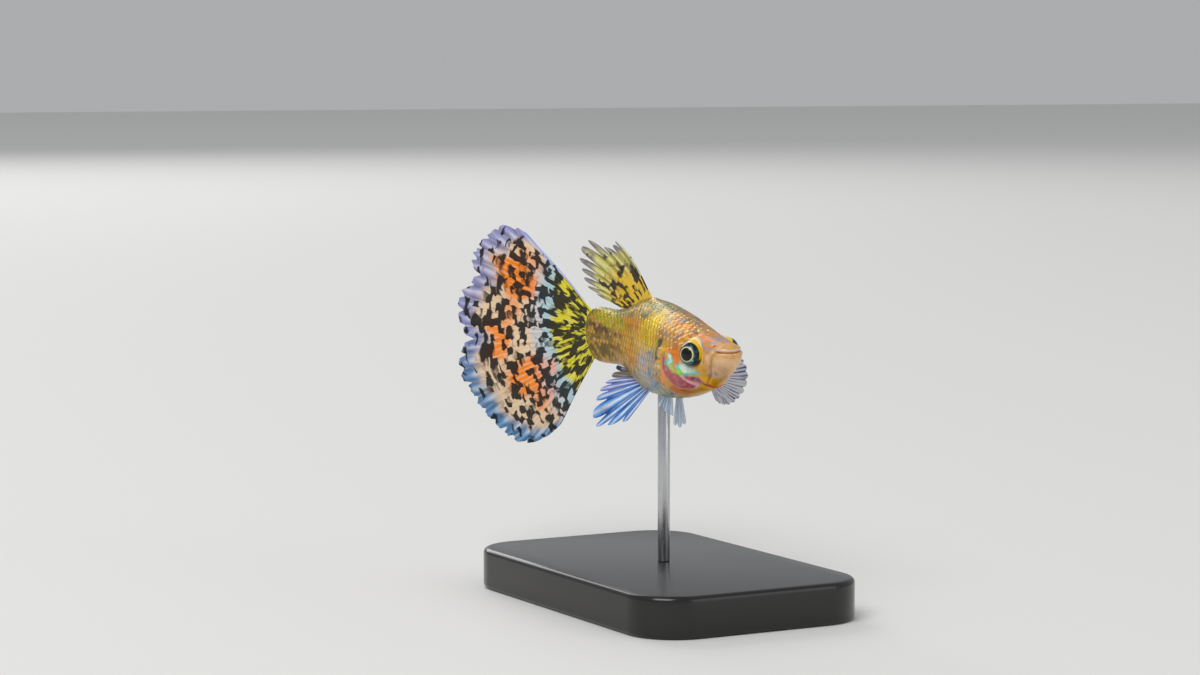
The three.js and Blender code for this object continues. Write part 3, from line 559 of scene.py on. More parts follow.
def body_normal(a, turn):
    """Outward normals of the smooth body in the straight fish."""
    here = np.stack([a, *body_section(a, turn)], 1)
    along = np.stack([a + 0.05, *body_section(a + 0.05, turn)], 1) - here
    round_it = np.stack([a, *body_section(a, turn + 0.02)], 1) - here
    normal = np.cross(along, round_it)
    normal /= np.maximum(np.linalg.norm(normal, axis=1), 1e-9)[:, None]
    outward = here - np.stack([a, 0 * a, widest_level(a)], 1)
    return normal * np.sign(np.sum(normal * outward, axis=1))[:, None]


out, up = body_section(plates[:, 0], plates[:, 1])
normal = body_normal(plates[:, 0], plates[:, 1])
on_skin = skin_point(plates[:, 0], out, up, normal)
one_up = fish_point(plates[:, 0] + normal[:, 0], out + normal[:, 1], up + normal[:, 2])
outward = one_up - fish_point(plates[:, 0], out, up)
scale_mm = on_skin + outward * plates[:, 2:3]
for vert, point in zip(bm.verts, scale_mm):
    vert.co = point
paint = markings(plates[:, 0], out, up, scale_mm)
bm.normal_update()
facing = np.array([v.normal for v in bm.verts])
if np.sum(facing * outward) < 0:
    bmesh.ops.reverse_faces(bm, faces=bm.faces)
origin = bm.verts.layers.int.new("origin")
for index, vert in enumerate(bm.verts):
    vert[origin] = index
bmesh.ops.solidify(bm, geom=bm.faces[:], thickness=SCALE_THICKNESS)
first = np.array([vert[origin] for vert in bm.verts])
patches = plates[first]
# Each scale bakes from its own small patch, at its root's place on the unrolled body.
unrolled = bm.loops.layers.uv.new("OFBake")
inside = 1 - 2 * BAKE_EDGE
bake_u = BAKE_EDGE + inside * patches[:, 6] / BODY_LENGTH + BAKE_PATCH / 2 * patches[:, 3]
bake_v = BAKE_EDGE + inside * patches[:, 7] + BAKE_PATCH / 2 * patches[:, 4]
for index, vert in enumerate(bm.verts):
    for loop in vert.link_loops:
        loop[unrolled].uv = (bake_u[index], bake_v[index])
scale_place = patches[:, 3:6]

# Wet scale: pigment under clear gloss, combed with fine growth lines that run to its rear
# edge, darker just inside the edge and flecked with silvery painted highlights where the plate would catch
# light.
tiles, tree, output = start_material("wet_lapped_scales")
painted = add(tree, "Attribute", attribute_name="paint").outputs["Color"]
placed = add(tree, "Attribute", attribute_name="scale_place").outputs["Vector"]
parts = add(tree, "SeparateXYZ", {0: placed})
flat = add(tree, "Mapping", {"Vector": placed, "Scale": (1, 1, 0)})
outer = add(tree, "VectorMath", {0: flat}, operation="LENGTH").outputs["Value"]
rim = add(tree, "MapRange", {0: outer, 1: 0.6, 2: 0.98}, interpolation_type="SMOOTHSTEP")
behind = add(tree, "MapRange", {0: parts.outputs[0], 1: -0.3, 2: 0.4, 4: 0.14})
rim = add(tree, "Math", {0: rim, 1: behind}, operation="MULTIPLY")
growth = add(tree, "Mapping", {"Vector": placed, "Scale": (0.5, 7.0, 31.0)})
growth = add(tree, "TexNoise", {"Vector": growth, "Scale": 1.0, "Detail": 3.0})
place = add(tree, "TexCoord").outputs["Object"]
mottle = add(tree, "TexNoise", {
    "Vector": place, "Scale": 1 / (0.35 * MM), "Detail": 4.0, "Roughness": 0.65,
})
# Silvery flecks where the growth lines and the mottle peak are painted highlights.
silver_highlight = add(tree, "Math", {0: growth, 1: mottle}, operation="MULTIPLY")
silver_highlight = add(tree, "MapRange", {0: silver_highlight, 1: 0.27, 2: 0.4, 4: 0.32})
tones = [
    (add(tree, "MapRange", {0: parts.outputs[2], 1: start, 2: full, 4: amount}), code)
    for start, full, code, amount in [
        (0.78, 0.98, "#b9c2c0", 0.4), (0.26, 0.1, "#7c5a10", 0.28), (0.5, 0.58, "#ffcf10", 0.35),
        (0.6, 0.66, "#e08a18", 0.25),
    ]
]
sooty = add(tree, "MapRange", {0: mottle, 1: 0.45, 2: 0.34, 4: 0.28})
sooty = add(tree, "Math", {0: sooty, 1: rim}, operation="MAXIMUM")
colour = painted
for share, code in [(silver_highlight, "#fbe58a"), *tones, (sooty, "#5c4214")]:
    colour = add(tree, "Mix", {0: share, 6: colour, 7: hex_colour(code)}, data_type="RGBA").outputs[2]
gloss = add(tree, "MapRange", {0: growth, 1: 0.3, 2: 0.7, 3: 0.4, 4: 0.26})
relief = add(tree, "Bump", {"Strength": 0.3, "Distance": 0.02 * MM, "Height": growth})
shader = add(tree, "BsdfPrincipled", {
    "Base Color": colour, "Roughness": gloss, "IOR": 1.25, "Normal": relief, "Metallic": 0.5,
    "Coat Weight": 0.15, "Coat Roughness": 0.12, "Subsurface Weight": 0.08,
    "Subsurface Scale": 0.3 * MM, "Subsurface Radius": (1.0, 0.6, 0.3),
})
tree.links.new(shader.outputs[0], output.inputs[0])
make_piece(bm, "scales", tiles, "body_skin", attributes={"paint": paint[first], "scale_place": scale_place})

# The eyes: clear hard balls with a black pupil, a thin gold ring round it and a dark teal
# iris. Each sits in its socket, rimmed by skin, and looks out and a little forward.

# A wet cornea over pigment: the iris shines in a ring and the pupil swallows light.
cornea, tree, output = start_material("wet_eye_with_gold_ring")
iris = add(tree, "Attribute", attribute_name="iris_place").outputs["Vector"]
parts = add(tree, "SeparateXYZ", {0: iris})
speck = add(tree, "TexNoise", {"Vector": iris, "Scale": 6.0, "Detail": 4.0})
teal = add(tree, "MapRange", {0: speck, 1: 0.48, 2: 0.66, 4: 0.8})
low = add(tree, "MapRange", {0: parts.outputs[1], 1: -0.5, 2: -0.85, 4: 0.8})
bands = [
    (add(tree, "MapRange", {0: parts.outputs[0], 1: inner, 2: outer, 4: amount}), code)
    for inner, outer, code, amount in [
        (0.68, 0.82, "#060b10", 0.8), (0.66, 0.6, "#2f8a8c", 0.7), (0.6, 0.55, "#e8cf8a", 1.0),
        (0.51, 0.49, "#010102", 1.0),
    ]
]
gilt = add(tree, "Math", {0: parts.outputs[1], 1: 0.9, 2: parts.outputs[2]}, operation="MULTIPLY_ADD")
gilt = add(tree, "MapRange", {0: gilt, 1: 0.35, 2: 0.75})
edge = add(tree, "MapRange", {0: parts.outputs[0], 1: 0.87, 2: 0.91})
gilt = add(tree, "Math", {0: gilt, 1: edge}, operation="MULTIPLY")
# A small cyan fleck low on the front of the iris is a painted highlight.
painted_glint = add(tree, "VectorMath", {0: iris, 1: (0.64, -0.46, 0.44)}, operation="DISTANCE").outputs["Value"]
painted_glint = add(tree, "MapRange", {0: painted_glint, 1: 0.14, 2: 0.07, 4: 0.9})
colour = hex_colour("#0f2530")
for share, code in [(teal, "#3f7480"), (low, "#9fbcc4"), *bands, (gilt, "#f2c21c"), (painted_glint, "#4cc8d0")]:
    colour = add(tree, "Mix", {0: share, 6: colour, 7: hex_colour(code)}, data_type="RGBA").outputs[2]
shader = add(tree, "BsdfPrincipled", {
    "Base Color": colour, "Roughness": 0.3, "IOR": 1.2, "Coat Weight": 1.0, "Coat Roughness": 0.03,
    "Coat IOR": 1.36,
})
tree.links.new(shader.outputs[0], output.inputs[0])

for side, name in ((-1, "right"), (1, "left")):
    bm = bmesh.new()
    bmesh.ops.create_uvsphere(bm, u_segments=64, v_segments=48, radius=1.0)
    ball = np.array([v.co for v in bm.verts])
    off_axis = np.where(ball[:, 2] > 0, np.hypot(ball[:, 0], ball[:, 1]), 1.0)
    iris_place = np.stack([off_axis, ball[:, 1], -side * ball[:, 0]], 1)
    bmesh.ops.scale(bm, vec=(EYE_RADIUS, EYE_RADIUS, EYE_RADIUS), verts=bm.verts)
    facing = Matrix.Rotation(math.radians(heading(EYE_STATION)) - side * EYE_TURN, 3, "Z")
    outward = Matrix(((-side, 0, 0), (0, 0, side), (0, 1, 0)))
    bmesh.ops.rotate(bm, matrix=facing @ outward, verts=bm.verts)
    bmesh.ops.translate(bm, vec=fish_point(EYE_STATION, side * EYE_OUT, EYE_LEVEL), verts=bm.verts)
    make_piece(bm, "eyeball_" + name, cornea, "eye", "eye_" + name, attributes={"iris_place": iris_place})

# The tail fin: a broad fan of branched bony rays with a thin skin between them, spotted
# black over yellow, cream and orange. It grows from the rounded end of the tail stalk.

TAIL_RAYS = 22
TAIL_HUB, TAIL_HUB_LEVEL, TAIL_ROOT_RADIUS = 26.3, 0.2, 2.4
TAIL_LOW, TAIL_HIGH = -50, 39
DRAWN_OUT, DRAWN_SHARE = 10, 0.6
RAY_SHIFT = 7.31
TAIL_WAVE = 0.45
tail_reach = through([
    (-50, 12.2), (-46, 16.8), (-40, 19.4), (-33, 20.9), (-26, 21.9), (-19, 22.6), (-11, 22.4),
    (-5, 21.4), (0, 22.3), (7, 22.3), (13.5, 20.3), (18, 20.9), (25, 20.4), (31, 19.3), (35, 17.8),
    (39, 14.6),
])


# Each orange patch of the fan: angle, distance from the hub, half width, half length, strength.
ORANGE_PATCHES = [
    (20, 14.8, 8, 3.3, 1.0), (13, 14.4, 6, 2.0, 0.85), (29, 13.8, 4, 2.0, 0.6), (-22, 13.4, 8, 3.8, 1.0),
    (-33, 12.6, 6, 2.0, 0.75), (-7, 17.0, 6, 1.8, 0.9), (3, 15.4, 5, 1.6, 0.6),
]


def between(root, tip, v):
    return tuple(a + (b - a) * v for a, b in zip(root, tip))


def fin_blade(rays, path, notch, columns=12, rows=90, film=0.07, bone=0.16, root=0.3, fray=0.012):
    """A fin as a thin closed blade. path(u, v) gives station, left and up of the point at v
    along the ray at u. Returns the mesh and, for each of its points, u, v and its world place."""
    bm = bmesh.new()
    for _ in range(2):
        bmesh.ops.create_grid(bm, x_segments=rays * columns, y_segments=rows, size=0.5)
    flat = np.array([v.co for v in bm.verts])
    half = len(flat) // 2
    face = np.where(np.arange(len(flat)) < half, 1.0, -1.0)
    edge = 0.3 / rays
    u = edge + (flat[:, 0] + 0.5) * (1 - 2 * edge)
    v = flat[:, 1] + 0.5
    off_ray = np.abs(np.mod(u * rays, 1) - 0.5)
    ragged = np.array([noise.noise(Vector((x * rays * 2.3, 3.7, rays))) for x in u])
    reach = 1 - notch(u) * (off_ray / 0.5) ** 3.2 - fray * np.abs(ragged) * (1 + 2 * off_ray)
    v = v * reach
    at = fish_point(*path(u, v))
    low, high = np.maximum(u - 0.002, 0), np.minimum(u + 0.002, 1)
    across = fish_point(*path(high, v)) - fish_point(*path(low, v))
    along = fish_point(*path(u, v + 0.004)) - fish_point(*path(u, v - 0.004))
    normal = np.cross(across, along)
    normal /= np.maximum(np.linalg.norm(normal, axis=1), 1e-9)[:, None]
    fork = 0.17 * step(v, 0.3, 0.6)
    twig = 0.08 * step(v, 0.58, 0.85)
    from_ray = np.abs(np.abs(off_ray - fork) - twig)
    bony = ridge(from_ray, 0.07) * (1 - 0.7 * v)
    thick = film + (bone - film) * bony + (root - film) * (1 - step(v, 0, 0.2))
    thick = thick * (1 - step(v / reach, 0.93, 1.0) * 0.7)
    at = at + normal * (face * thick / 2)[:, None]
    for vert, point in zip(bm.verts, at):
        vert.co = point
    rim = [e for e in bm.edges if e.is_boundary]
    bmesh.ops.bridge_loops(bm, edges=rim)
    bmesh.ops.recalc_face_normals(bm, faces=bm.faces)
    return bm, u, v, at


def tail_path(u, v):
    angle = np.radians(TAIL_LOW + (TAIL_HIGH - TAIL_LOW) * u)
    reach = tail_reach(np.degrees(angle))
    r = TAIL_ROOT_RADIUS + (reach - TAIL_ROOT_RADIUS) * v
    up = TAIL_HUB_LEVEL + r * np.sin(angle)
    return TAIL_HUB + r * np.cos(angle), TAIL_WAVE * v * v * np.sin(up * 0.55 + 0.6), up


bm, u, v, at = fin_blade(TAIL_RAYS, tail_path, lambda x: 0.03 + 0 * x, fray=0.03)
angle = TAIL_LOW + (TAIL_HIGH - TAIL_LOW) * u
full = tail_reach(angle)
r = TAIL_ROOT_RADIUS + (full - TAIL_ROOT_RADIUS) * v
rough_r = r + 1.1 * cloud(at, 2.0, 11) + 0.5 * cloud(at, 0.8, 12)
rough_a = angle + 5 * cloud(at, 2.2, 13) + 2 * cloud(at, 0.9, 14)
to_edge = full - rough_r


def fan_patch(a, b, wide, long):
    reach = np.hypot((rough_a - a) / wide, (rough_r - b) / long)
    return 1 - step(reach, 0.6, 1.2)


def from_middle(u, rays):
    """0 on the middle of the nearest ray, 1 half way to the next."""
    return np.abs(np.mod(u * rays, 1) - 0.5) * 2


off_ray = from_middle(u, TAIL_RAYS)
paint = coats(
    ground("#e0d400", u),
    ("#a9cfd8", step(rough_r, 8.4, 9.8)),
    ("#e8caa6", step(rough_r, 10.6, 12.6)),
    *(("#ff8a00", fan_patch(*place) * amount) for *place, amount in ORANGE_PATCHES),
    ("#d9cfd8", ridge(rough_r - 11.4, 1.1) * 0.55),
)
margin = 1 - step(to_edge, 1.2, 3.6)
edging = coats(ground("#8f90c4", u), ("#3f7fb2", 1 - step(angle, -22, 6)))
paint = coats(
    paint + (edging - paint) * margin[:, None],
    ("#dfe4f4", margin * (1 - step(off_ray, 0.15, 0.6)) * ridge(to_edge - 2.4, 1.3) * 0.75),
    ("#39405c", margin * step(off_ray, 0.5, 0.95) * 0.4),
    ("#9fb0f4", step(angle, 36, 37.5) * step(r, 4, 6) * 0.9),
)
# Alpha holds how dark the film is marked. The marks are drawn out along the inner rays.
darkness = 0.6 - 0.035 * step(rough_r, 9.5, 13) - 0.16 * margin - 0.4 * step(angle, 36, 37.5)
darkness = darkness + 0.05 * ridge(rough_r - 10.6, 1.3)
paint[:, 3] = np.clip(darkness * step(r, 2.8, 4.2), 0, 1)
run = np.where(r < DRAWN_OUT, DRAWN_SHARE * r, r - DRAWN_OUT * (1 - DRAWN_SHARE))
ray_place = np.stack([u * TAIL_RAYS, run, v], 1)


def fin_material(name, spot_long, blot, spot_code, ray_and_highlight_code, gloss, film=1.0, bones=1.0,
                 marks_per_ray=1.0):
    """A fin's film: painted ground, pale bony rays streaked with painted highlights, and dark
    dashes along them. film and bones say how much light the skin between the rays and the
    rays themselves stop."""
    material, tree, output = start_material(name)
    painted = add(tree, "Attribute", attribute_name="paint")
    placed = add(tree, "Attribute", attribute_name="ray_place").outputs["Vector"]
    wobble = add(tree, "TexNoise", {"Vector": placed, "Scale": 1.1, "Detail": 1.0}).outputs[1]
    wobble = add(tree, "VectorMath", {0: wobble, 1: (0.5, 0.5, 0.5)}, operation="SUBTRACT")
    bent = add(tree, "VectorMath", {0: wobble, 1: (0.95, 1.3, 0), 2: placed}, operation="MULTIPLY_ADD")
    bent = add(tree, "SeparateXYZ", {0: bent})
    ray = bent.outputs[0]
    for operation, value in [("MULTIPLY", marks_per_ray), ("FLOOR", 0), ("MULTIPLY", RAY_SHIFT)]:
        ray = add(tree, "Math", {0: ray, 1: value}, operation=operation)
    run = add(tree, "Math", {0: bent.outputs[1], 1: 1 / spot_long}, operation="MULTIPLY")
    dash = add(tree, "CombineXYZ", {0: ray, 1: run})
    dash = add(tree, "TexNoise", {"Vector": dash, "Scale": 1.0, "Detail": 1.0})
    broad = add(tree, "Mapping", {"Vector": placed, "Scale": (1 / blot, 1 / blot, 0)})
    broad = add(tree, "TexNoise", {"Vector": broad, "Scale": 1.0, "Detail": 1.0})
    dark = add(tree, "Math", {0: broad, 1: 0.22, 2: dash}, operation="MULTIPLY_ADD")
    limit = add(tree, "MapRange", {0: painted.outputs["Alpha"], 3: 0.89, 4: 0.39})
    dark = add(tree, "Math", {0: dark, 1: limit}, operation="SUBTRACT")
    spot = add(tree, "MapRange", {0: dark, 1: -0.025, 2: 0.035, 4: 0.96})
    beat = add(tree, "SeparateXYZ", {0: placed})
    beat = add(tree, "Math", {0: beat, 1: 4 * math.pi}, operation="MULTIPLY")
    beat = add(tree, "Math", {0: beat}, operation="COSINE")
    # Pale streaks along the rays: the rays' own pale bone, and painted highlights on it. They also raise
    # the rays in relief and make them stop more light.
    streak = add(tree, "Mapping", {"Vector": placed, "Scale": (3.4, 0.35, 0)})
    streak = add(tree, "TexNoise", {"Vector": streak, "Scale": 1.0})
    ray_and_highlight = add(tree, "Math", {0: beat, 1: 0.14, 2: streak}, operation="MULTIPLY_ADD")
    ray_and_highlight = add(tree, "MapRange", {0: ray_and_highlight, 1: 0.52, 2: 0.76, 4: 0.36})
    shade = add(tree, "MapRange", {0: streak, 1: 0.46, 2: 0.3, 4: 0.4})
    colour = painted.outputs["Color"]
    for share, code in [(ray_and_highlight, ray_and_highlight_code), (shade, "#3b3028"), (spot, spot_code)]:
        colour = add(tree, "Mix", {0: share, 6: colour, 7: hex_colour(code)}, data_type="RGBA").outputs[2]
    relief = add(tree, "Bump", {"Strength": 0.35, "Distance": 0.05 * MM, "Height": ray_and_highlight})
    body = add(tree, "MapRange", {0: ray_and_highlight, 1: 0.0, 2: 0.5, 3: film, 4: bones})
    shader = add(tree, "BsdfPrincipled", {
        "Base Color": colour, "Roughness": gloss, "IOR": 1.3, "Normal": relief, "Alpha": body,
        "Coat Weight": 0.08, "Coat Roughness": 0.2, "Subsurface Weight": 0.2,
        "Subsurface Scale": 0.2 * MM, "Subsurface Radius": (1.0, 0.8, 0.6),
    })
    tree.links.new(shader.outputs[0], output.inputs[0])
    return material


# A wet film on bony rays: satin, each dark dash under a ray wide and a millimetre or two long.
spotted = fin_material("spotted_tail_film", 1.1, 1.5, "#08070c", "#f3e6d2", 0.45, marks_per_ray=1.5)
make_piece(bm, "tail_fan", spotted, "tail_fin", "tail_fin",
           attributes={"paint": paint, "ray_place": ray_place})

# The dorsal fin: ten long soft rays that stand from the back and trail over the tail stalk,
# joined by film only near the root, yellow with black blots and clear at the tips.

DORSAL_RAYS, DORSAL_DEPTH = 10, 0.9
dorsal_root = through([(0, 16.1), (1, 21.2)])
dorsal_tip_station = through([
    (0, 24.7), (0.15, 25.2), (0.25, 26.6), (0.37, 29.9), (0.5, 31.2), (0.68, 30.9), (0.85, 30.0), (1, 27.4),
])
dorsal_tip_level = through([
    (0, 9.7), (0.15, 9.1), (0.25, 8.8), (0.37, 9.3), (0.5, 7.8), (0.68, 6.0), (0.85, 4.5), (1, 3.5),
])
dorsal_bow = through([(0, 1.1), (0.5, 0.4), (1, 0.15)])
dorsal_notch = through([(0, 0.12), (0.2, 0.2), (0.33, 0.3), (0.7, 0.34), (1, 0.3)])


def dorsal_path(u, v):
    root = (dorsal_root(u), 0 * u, back_line(dorsal_root(u)) - DORSAL_DEPTH)
    tip = (dorsal_tip_station(u), 0 * u, dorsal_tip_level(u))
    s, _, up = between(root, tip, v)
    return s, 0.5 * v * v, up + dorsal_bow(u) * np.sin(math.pi * v)


bm, u, v, at = fin_blade(DORSAL_RAYS, dorsal_path, dorsal_notch)
rough_v = v + 0.1 * cloud(at, 1.2, 21) + 0.05 * cloud(at, 0.5, 22)
off_ray = from_middle(u, DORSAL_RAYS)
paint = coats(
    ground("#e2b800", u),
    ("#d2cc5c", step(rough_v, 0.42, 0.66)),
    ("#746c86", step(rough_v, 0.66, 0.92) * 0.9),
    ("#5f5a2c", step(off_ray, 0.5, 0.9) * step(rough_v, 0.34, 0.5) * 0.75),
    ("#efe9bc", ridge(off_ray, 0.3) * ridge(rough_v - 0.62, 0.16) * 0.7),
    ("#4c4018", ridge(u - 0.14, 0.08) * ridge(rough_v - 0.52, 0.16) * 0.9),
    ("#c8ded2", (1 - step(u, 0.035, 0.06)) * step(v, 0.15, 0.3) * 0.8),
)
paint[:, 3] = np.clip(0.53 * step(v, 0.06, 0.16) - 0.3 * step(rough_v, 0.45, 0.75), 0, 1)
height = dorsal_tip_level(u) - back_line(dorsal_root(u)) + DORSAL_DEPTH
length = np.hypot(dorsal_tip_station(u) - dorsal_root(u), height)
ray_place = np.stack([u * DORSAL_RAYS, v * length, v], 1)
# The same wet film with longer, narrower dashes.
blotted = fin_material("blotted_dorsal_film", 1.7, 1.3, "#17120e", "#e9dc8c", 0.42, marks_per_ray=1.7)
make_piece(bm, "dorsal_fan", blotted, "dorsal_fin", "dorsal_fin",
           attributes={"paint": paint, "ray_place": ray_place})

# The anal fin: nine rays from one short fleshy root, bright blue with pale rays in front and
# mottled behind, where the grey brown over the rear rays is painted shade. It hangs below the tail stalk
# and swings to the right.

ANAL_RAYS, ANAL_DEPTH = 9, 0.8
ANAL_SWING = math.radians(17)
anal_root = through([(0, 16.9), (1, 19.2)])
anal_angle = through([(0, -40), (0.2, -31), (0.33, -26), (0.45, -15), (0.65, -4), (0.8, 5), (1, 26)])
anal_length = through([
    (0, 4.8), (0.12, 6.4), (0.25, 8.7), (0.35, 9.1), (0.45, 8.0), (0.65, 6.4), (0.8, 4.9), (1, 3.8),
])


def anal_path(u, v):
    turn = np.radians(anal_angle(u))
    back, fall = anal_length(u) * np.cos(turn), anal_length(u) * np.sin(turn)
    s = anal_root(u)
    root = (s, 0 * u, belly_line(s) + ANAL_DEPTH)
    tip = (s + back * math.cos(ANAL_SWING), -back * math.sin(ANAL_SWING), belly_line(s) + fall)
    return between(root, tip, v)


bm, u, v, at = fin_blade(ANAL_RAYS, anal_path, through([(0, 0.16), (0.3, 0.26), (1, 0.2)]), rows=70)
off_ray = from_middle(u, ANAL_RAYS)
paint = coats(
    ground("#3d96e6", u),
    ("#7f7fd0", step(u + 0.05 * cloud(at, 1.0, 33), 0.42, 0.6) * 0.8),
    ("#0b4c9c", step(off_ray, 0.45, 0.8) * 0.92),
    ("#f2f6ff", ridge(off_ray, 0.3) * (0.85 + 0.3 * cloud(at, 0.7, 34)) * (1 - 0.5 * step(v, 0.7, 1))),
    ("#d6b48c", 1 - step(v + 0.06 * cloud(at, 0.8, 31), 0.06, 0.22)),
    # The grey brown over the rear rays is painted shade; the dark mottling on them is the fin's own.
    ("#6d6258", step(u + 0.05 * cloud(at, 1.0, 32), 0.72, 0.82)),
)
paint[:, 3] = 0.1 + 0.3 * step(u, 0.7, 0.82)
ray_place = np.stack([u * ANAL_RAYS, v * anal_length(u), v], 1)
# Blue sheen comes from under the film, so the rays, pale and streaked with painted highlights, read nearly
# white against it.
blue_film = fin_material("blue_rayed_film", 1.6, 1.8, "#123055", "#eef6ff", 0.36)
make_piece(bm, "anal_fan", blue_film, "anal_fin", "anal_fin",
           attributes={"paint": paint, "ray_place": ray_place})

# The pelvic fins: a pair of small narrow blades of three rays below the belly, bluish white.
# The right one is short and fanned back, the left one long and straight.

# Clear film with a white edge to each ray, and painted highlights streaked along the rays.
clear_film = fin_material("clear_blue_film", 1.6, 2.0, "#4a6a90", "#e6eef8", 0.35, film=0.55, bones=0.95)
PELVIC_RAYS, PELVIC_FAN = 3, 1.1
PELVIC_LENGTH, PELVIC_DEPTH = 3, 0.9
PELVIC_STATION, PELVIC_OUT = 12.2, 0.45
for side, name, lengths, back, spread in [
    (-1, "right", through([(0, 1.9), (0.5, 1.5), (1, 0.7)]), (0.1, 1.3), 0.3),
    (1, "left", through([(0, 2.5), (0.5, 3.1), (1, 2.7)]), (0.3, 0.5), 0.2),
]:
    def pelvic_path(u, v, side=side, lengths=lengths, back=back, spread=spread):
        s = PELVIC_STATION + 0.9 * u
        root = (s, side * PELVIC_OUT + 0 * u, belly_line(s) + PELVIC_DEPTH)
        out = side * (PELVIC_OUT + spread) + PELVIC_FAN * (0.5 - u)
        tip = (s + back[0] + back[1] * u, out, belly_line(s) - lengths(u))
        return between(root, tip, v)

    bm, u, v, at = fin_blade(PELVIC_RAYS, pelvic_path, lambda x: 0.12 + 0 * x, columns=16, rows=40)
    paint = coats(ground("#a9c4e2", u), ("#dfe8f2", ridge(from_middle(u, PELVIC_RAYS), 0.32)))
    paint[:, 3] = 0.05
    ray_place = np.stack([u * PELVIC_RAYS, v * PELVIC_LENGTH, v], 1)
    make_piece(bm, "pelvic_fan_" + name, clear_film, "clear_fin", "pelvic_fin_" + name,
               attributes={"paint": paint, "ray_place": ray_place})

# The pectoral fins: thin round fans of twelve rays low behind the gill covers. The right one
# lies back along the flank, the left one is held out to the side and is painted dark blue: painted shade,
# the clear fin as it looks in shadow.

PECTORAL_RAYS = 12
PECTORAL_STATION, PECTORAL_OUT, PECTORAL_LEVEL = 8.9, 1.9, -2.6
PECTORAL_LENGTH = 4.5
folded_angle = through([(0, 62), (1, -12)])
folded_length = through([(0, 4.4), (0.35, 5.2), (1, 4.0)])
spread_angle = through([(0, 34), (1, -98)])
spread_length = through([(0, 3.6), (0.3, 4.5), (0.6, 3.7), (1, 2.1)])
SWEPT_BACK = math.radians(24)


def flank_out(s, level):
    middle = widest_level(s)
    tall = np.where(level > middle, back_line(s) - middle, middle - belly_line(s))
    share = np.minimum(np.abs(level - middle) / tall, 0.999)
    return half_width(s) * (1 - share ** SQUARENESS) ** (1 / SQUARENESS)


def folded_path(u, v):
    turn = np.radians(folded_angle(u))
    root = (PECTORAL_STATION - 0.3 + 0.5 * u, 0 * u, PECTORAL_LEVEL + 0.7 - 1.2 * u)
    tip = (PECTORAL_STATION + folded_length(u) * np.cos(turn), 0 * u,
           PECTORAL_LEVEL + folded_length(u) * np.sin(turn))
    s, _, up = between(root, tip, v)
    return s, -(flank_out(s, up) - 0.5 + 1.15 * np.sqrt(np.maximum(v, 0)) + 0.2 * v), up


def spread_path(u, v):
    turn = np.radians(spread_angle(u))
    root = (PECTORAL_STATION - 0.3 + 0 * u, PECTORAL_OUT + 0 * u, PECTORAL_LEVEL + 0.55 - 1.1 * u)
    out = 1.0 + spread_length(u) * np.cos(turn)
    tip = (PECTORAL_STATION - 0.3 + out * math.sin(SWEPT_BACK),
           PECTORAL_OUT + out * math.cos(SWEPT_BACK), PECTORAL_LEVEL + spread_length(u) * np.sin(turn))
    return between(root, tip, v)


# The clearest film on the fish: hardly more than its rays shows.
breast_film = fin_material("clear_breast_film", 1.6, 2.0, "#3c557a", "#c9d6e6", 0.35, film=0.02, bones=0.2)
# The left fan's dark blue, in its film and in its paint, is painted shade: the same clear fin, shaded.
shade_painted_film = fin_material("shade_painted_breast_film", 1.6, 2.0, "#0b1226", "#26387c", 0.35, film=0.3)
for name, path, film, code in [
    ("right", folded_path, breast_film, "#a8bdd2"), ("left", spread_path, shade_painted_film, "#1b2b60"),
]:
    bm, u, v, at = fin_blade(PECTORAL_RAYS, path, lambda x: 0.07 + 0 * x, columns=10, rows=50)
    paint = ground(code, u)
    paint[:, 3] = 0.1
    ray_place = np.stack([u * PECTORAL_RAYS, v * PECTORAL_LENGTH, v], 1)
    make_piece(bm, "breast_fan_" + name, film, "clear_fin", "pectoral_fin_" + name,
               attributes={"paint": paint, "ray_place": ray_place})

# The studio: a pale matt floor that runs out of sight, a pale surround, one broad soft light
# from the camera's left and above, a weaker one from its right and one from behind.

FLOOR_SIZE = 6.0

floor_paint, tree, output = start_material("pale_matt_floor")
shader = add(tree, "BsdfPrincipled", {"Base Color": hex_colour("#e4e3e0"), "Roughness": 0.75})
tree.links.new(shader.outputs[0], output.inputs[0])
bm = bmesh.new()
bmesh.ops.create_grid(bm, x_segments=2, y_segments=2, size=FLOOR_SIZE / 2)
mesh = bpy.data.meshes.new("floor")
bm.to_mesh(mesh)
bm.free()
mesh.materials.append(floor_paint)
floor = bpy.data.objects.new("floor", mesh)
bpy.context.scene.collection.objects.link(floor)

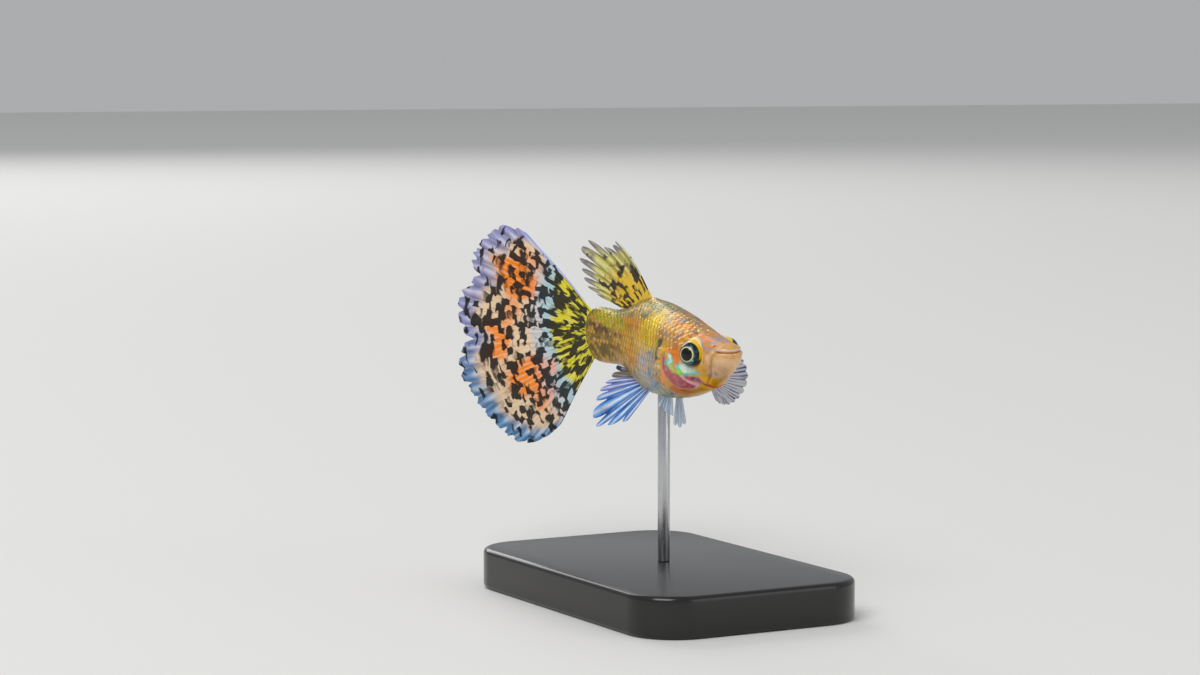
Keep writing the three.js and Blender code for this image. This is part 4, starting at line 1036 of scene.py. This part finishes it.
surround = bpy.data.worlds.new("pale_surround")
surround.use_nodes = True
surround.node_tree.nodes["Background"].inputs[0].default_value = hex_colour("#e9ebee")
surround.node_tree.nodes["Background"].inputs[1].default_value = 0.5
bpy.context.scene.world = surround

VIEW_AZIMUTH, VIEW_ELEVATION = math.radians(60), math.radians(5.2)
VIEW_DISTANCE = 0.3
view_right = Vector((math.cos(VIEW_AZIMUTH), math.sin(VIEW_AZIMUTH), 0))
view_back = Vector((math.sin(VIEW_AZIMUTH) * math.cos(VIEW_ELEVATION),
                    -math.cos(VIEW_AZIMUTH) * math.cos(VIEW_ELEVATION), math.sin(VIEW_ELEVATION)))
view_up = view_back.cross(view_right)
fish_middle = Vector((0, 0, SWIM_HEIGHT * MM))


def soft_light(name, right, back, up, size, watts):
    """A square lamp placed from the fish along the camera's right, back and up."""
    lamp = bpy.data.lights.new(name, "AREA")
    lamp.size = size
    lamp.energy = watts
    light = bpy.data.objects.new(name, lamp)
    light.location = fish_middle + view_right * right + view_back * back + Vector((0, 0, up))
    light.rotation_euler = (fish_middle - light.location).to_track_quat("-Z", "Y").to_euler()
    bpy.context.scene.collection.objects.link(light)


soft_light("key_light", -0.5, 0.9, 1.1, 0.9, 13.5)
soft_light("fill_light", 1.2, 0.7, 0.4, 1.0, 3.0)
soft_light("back_light", -0.5, -1.1, 0.8, 0.8, 5.0)

# The camera: a macro lens level with the fish's right cheek, a little above it.

PIXELS_PER_MM = 10.33
FISH_PIXEL = (664.1, 346.2)
aim = fish_middle - view_right * ((FISH_PIXEL[0] - 600) / PIXELS_PER_MM * MM)
aim = aim + view_up * ((FISH_PIXEL[1] - 337.5) / PIXELS_PER_MM * MM)
lens = bpy.data.cameras.new("camera")
lens.sensor_width = 36
lens.lens = PIXELS_PER_MM / MM * VIEW_DISTANCE * 36 / 1200
lens.clip_start = 0.01
camera = bpy.data.objects.new("camera", lens)
camera.location = fish_middle + view_back * VIEW_DISTANCE
camera.rotation_euler = (camera.location - aim).to_track_quat("Z", "Y").to_euler()
bpy.context.scene.collection.objects.link(camera)
bpy.context.scene.camera = camera
bpy.context.scene.view_settings.view_transform = "Standard"
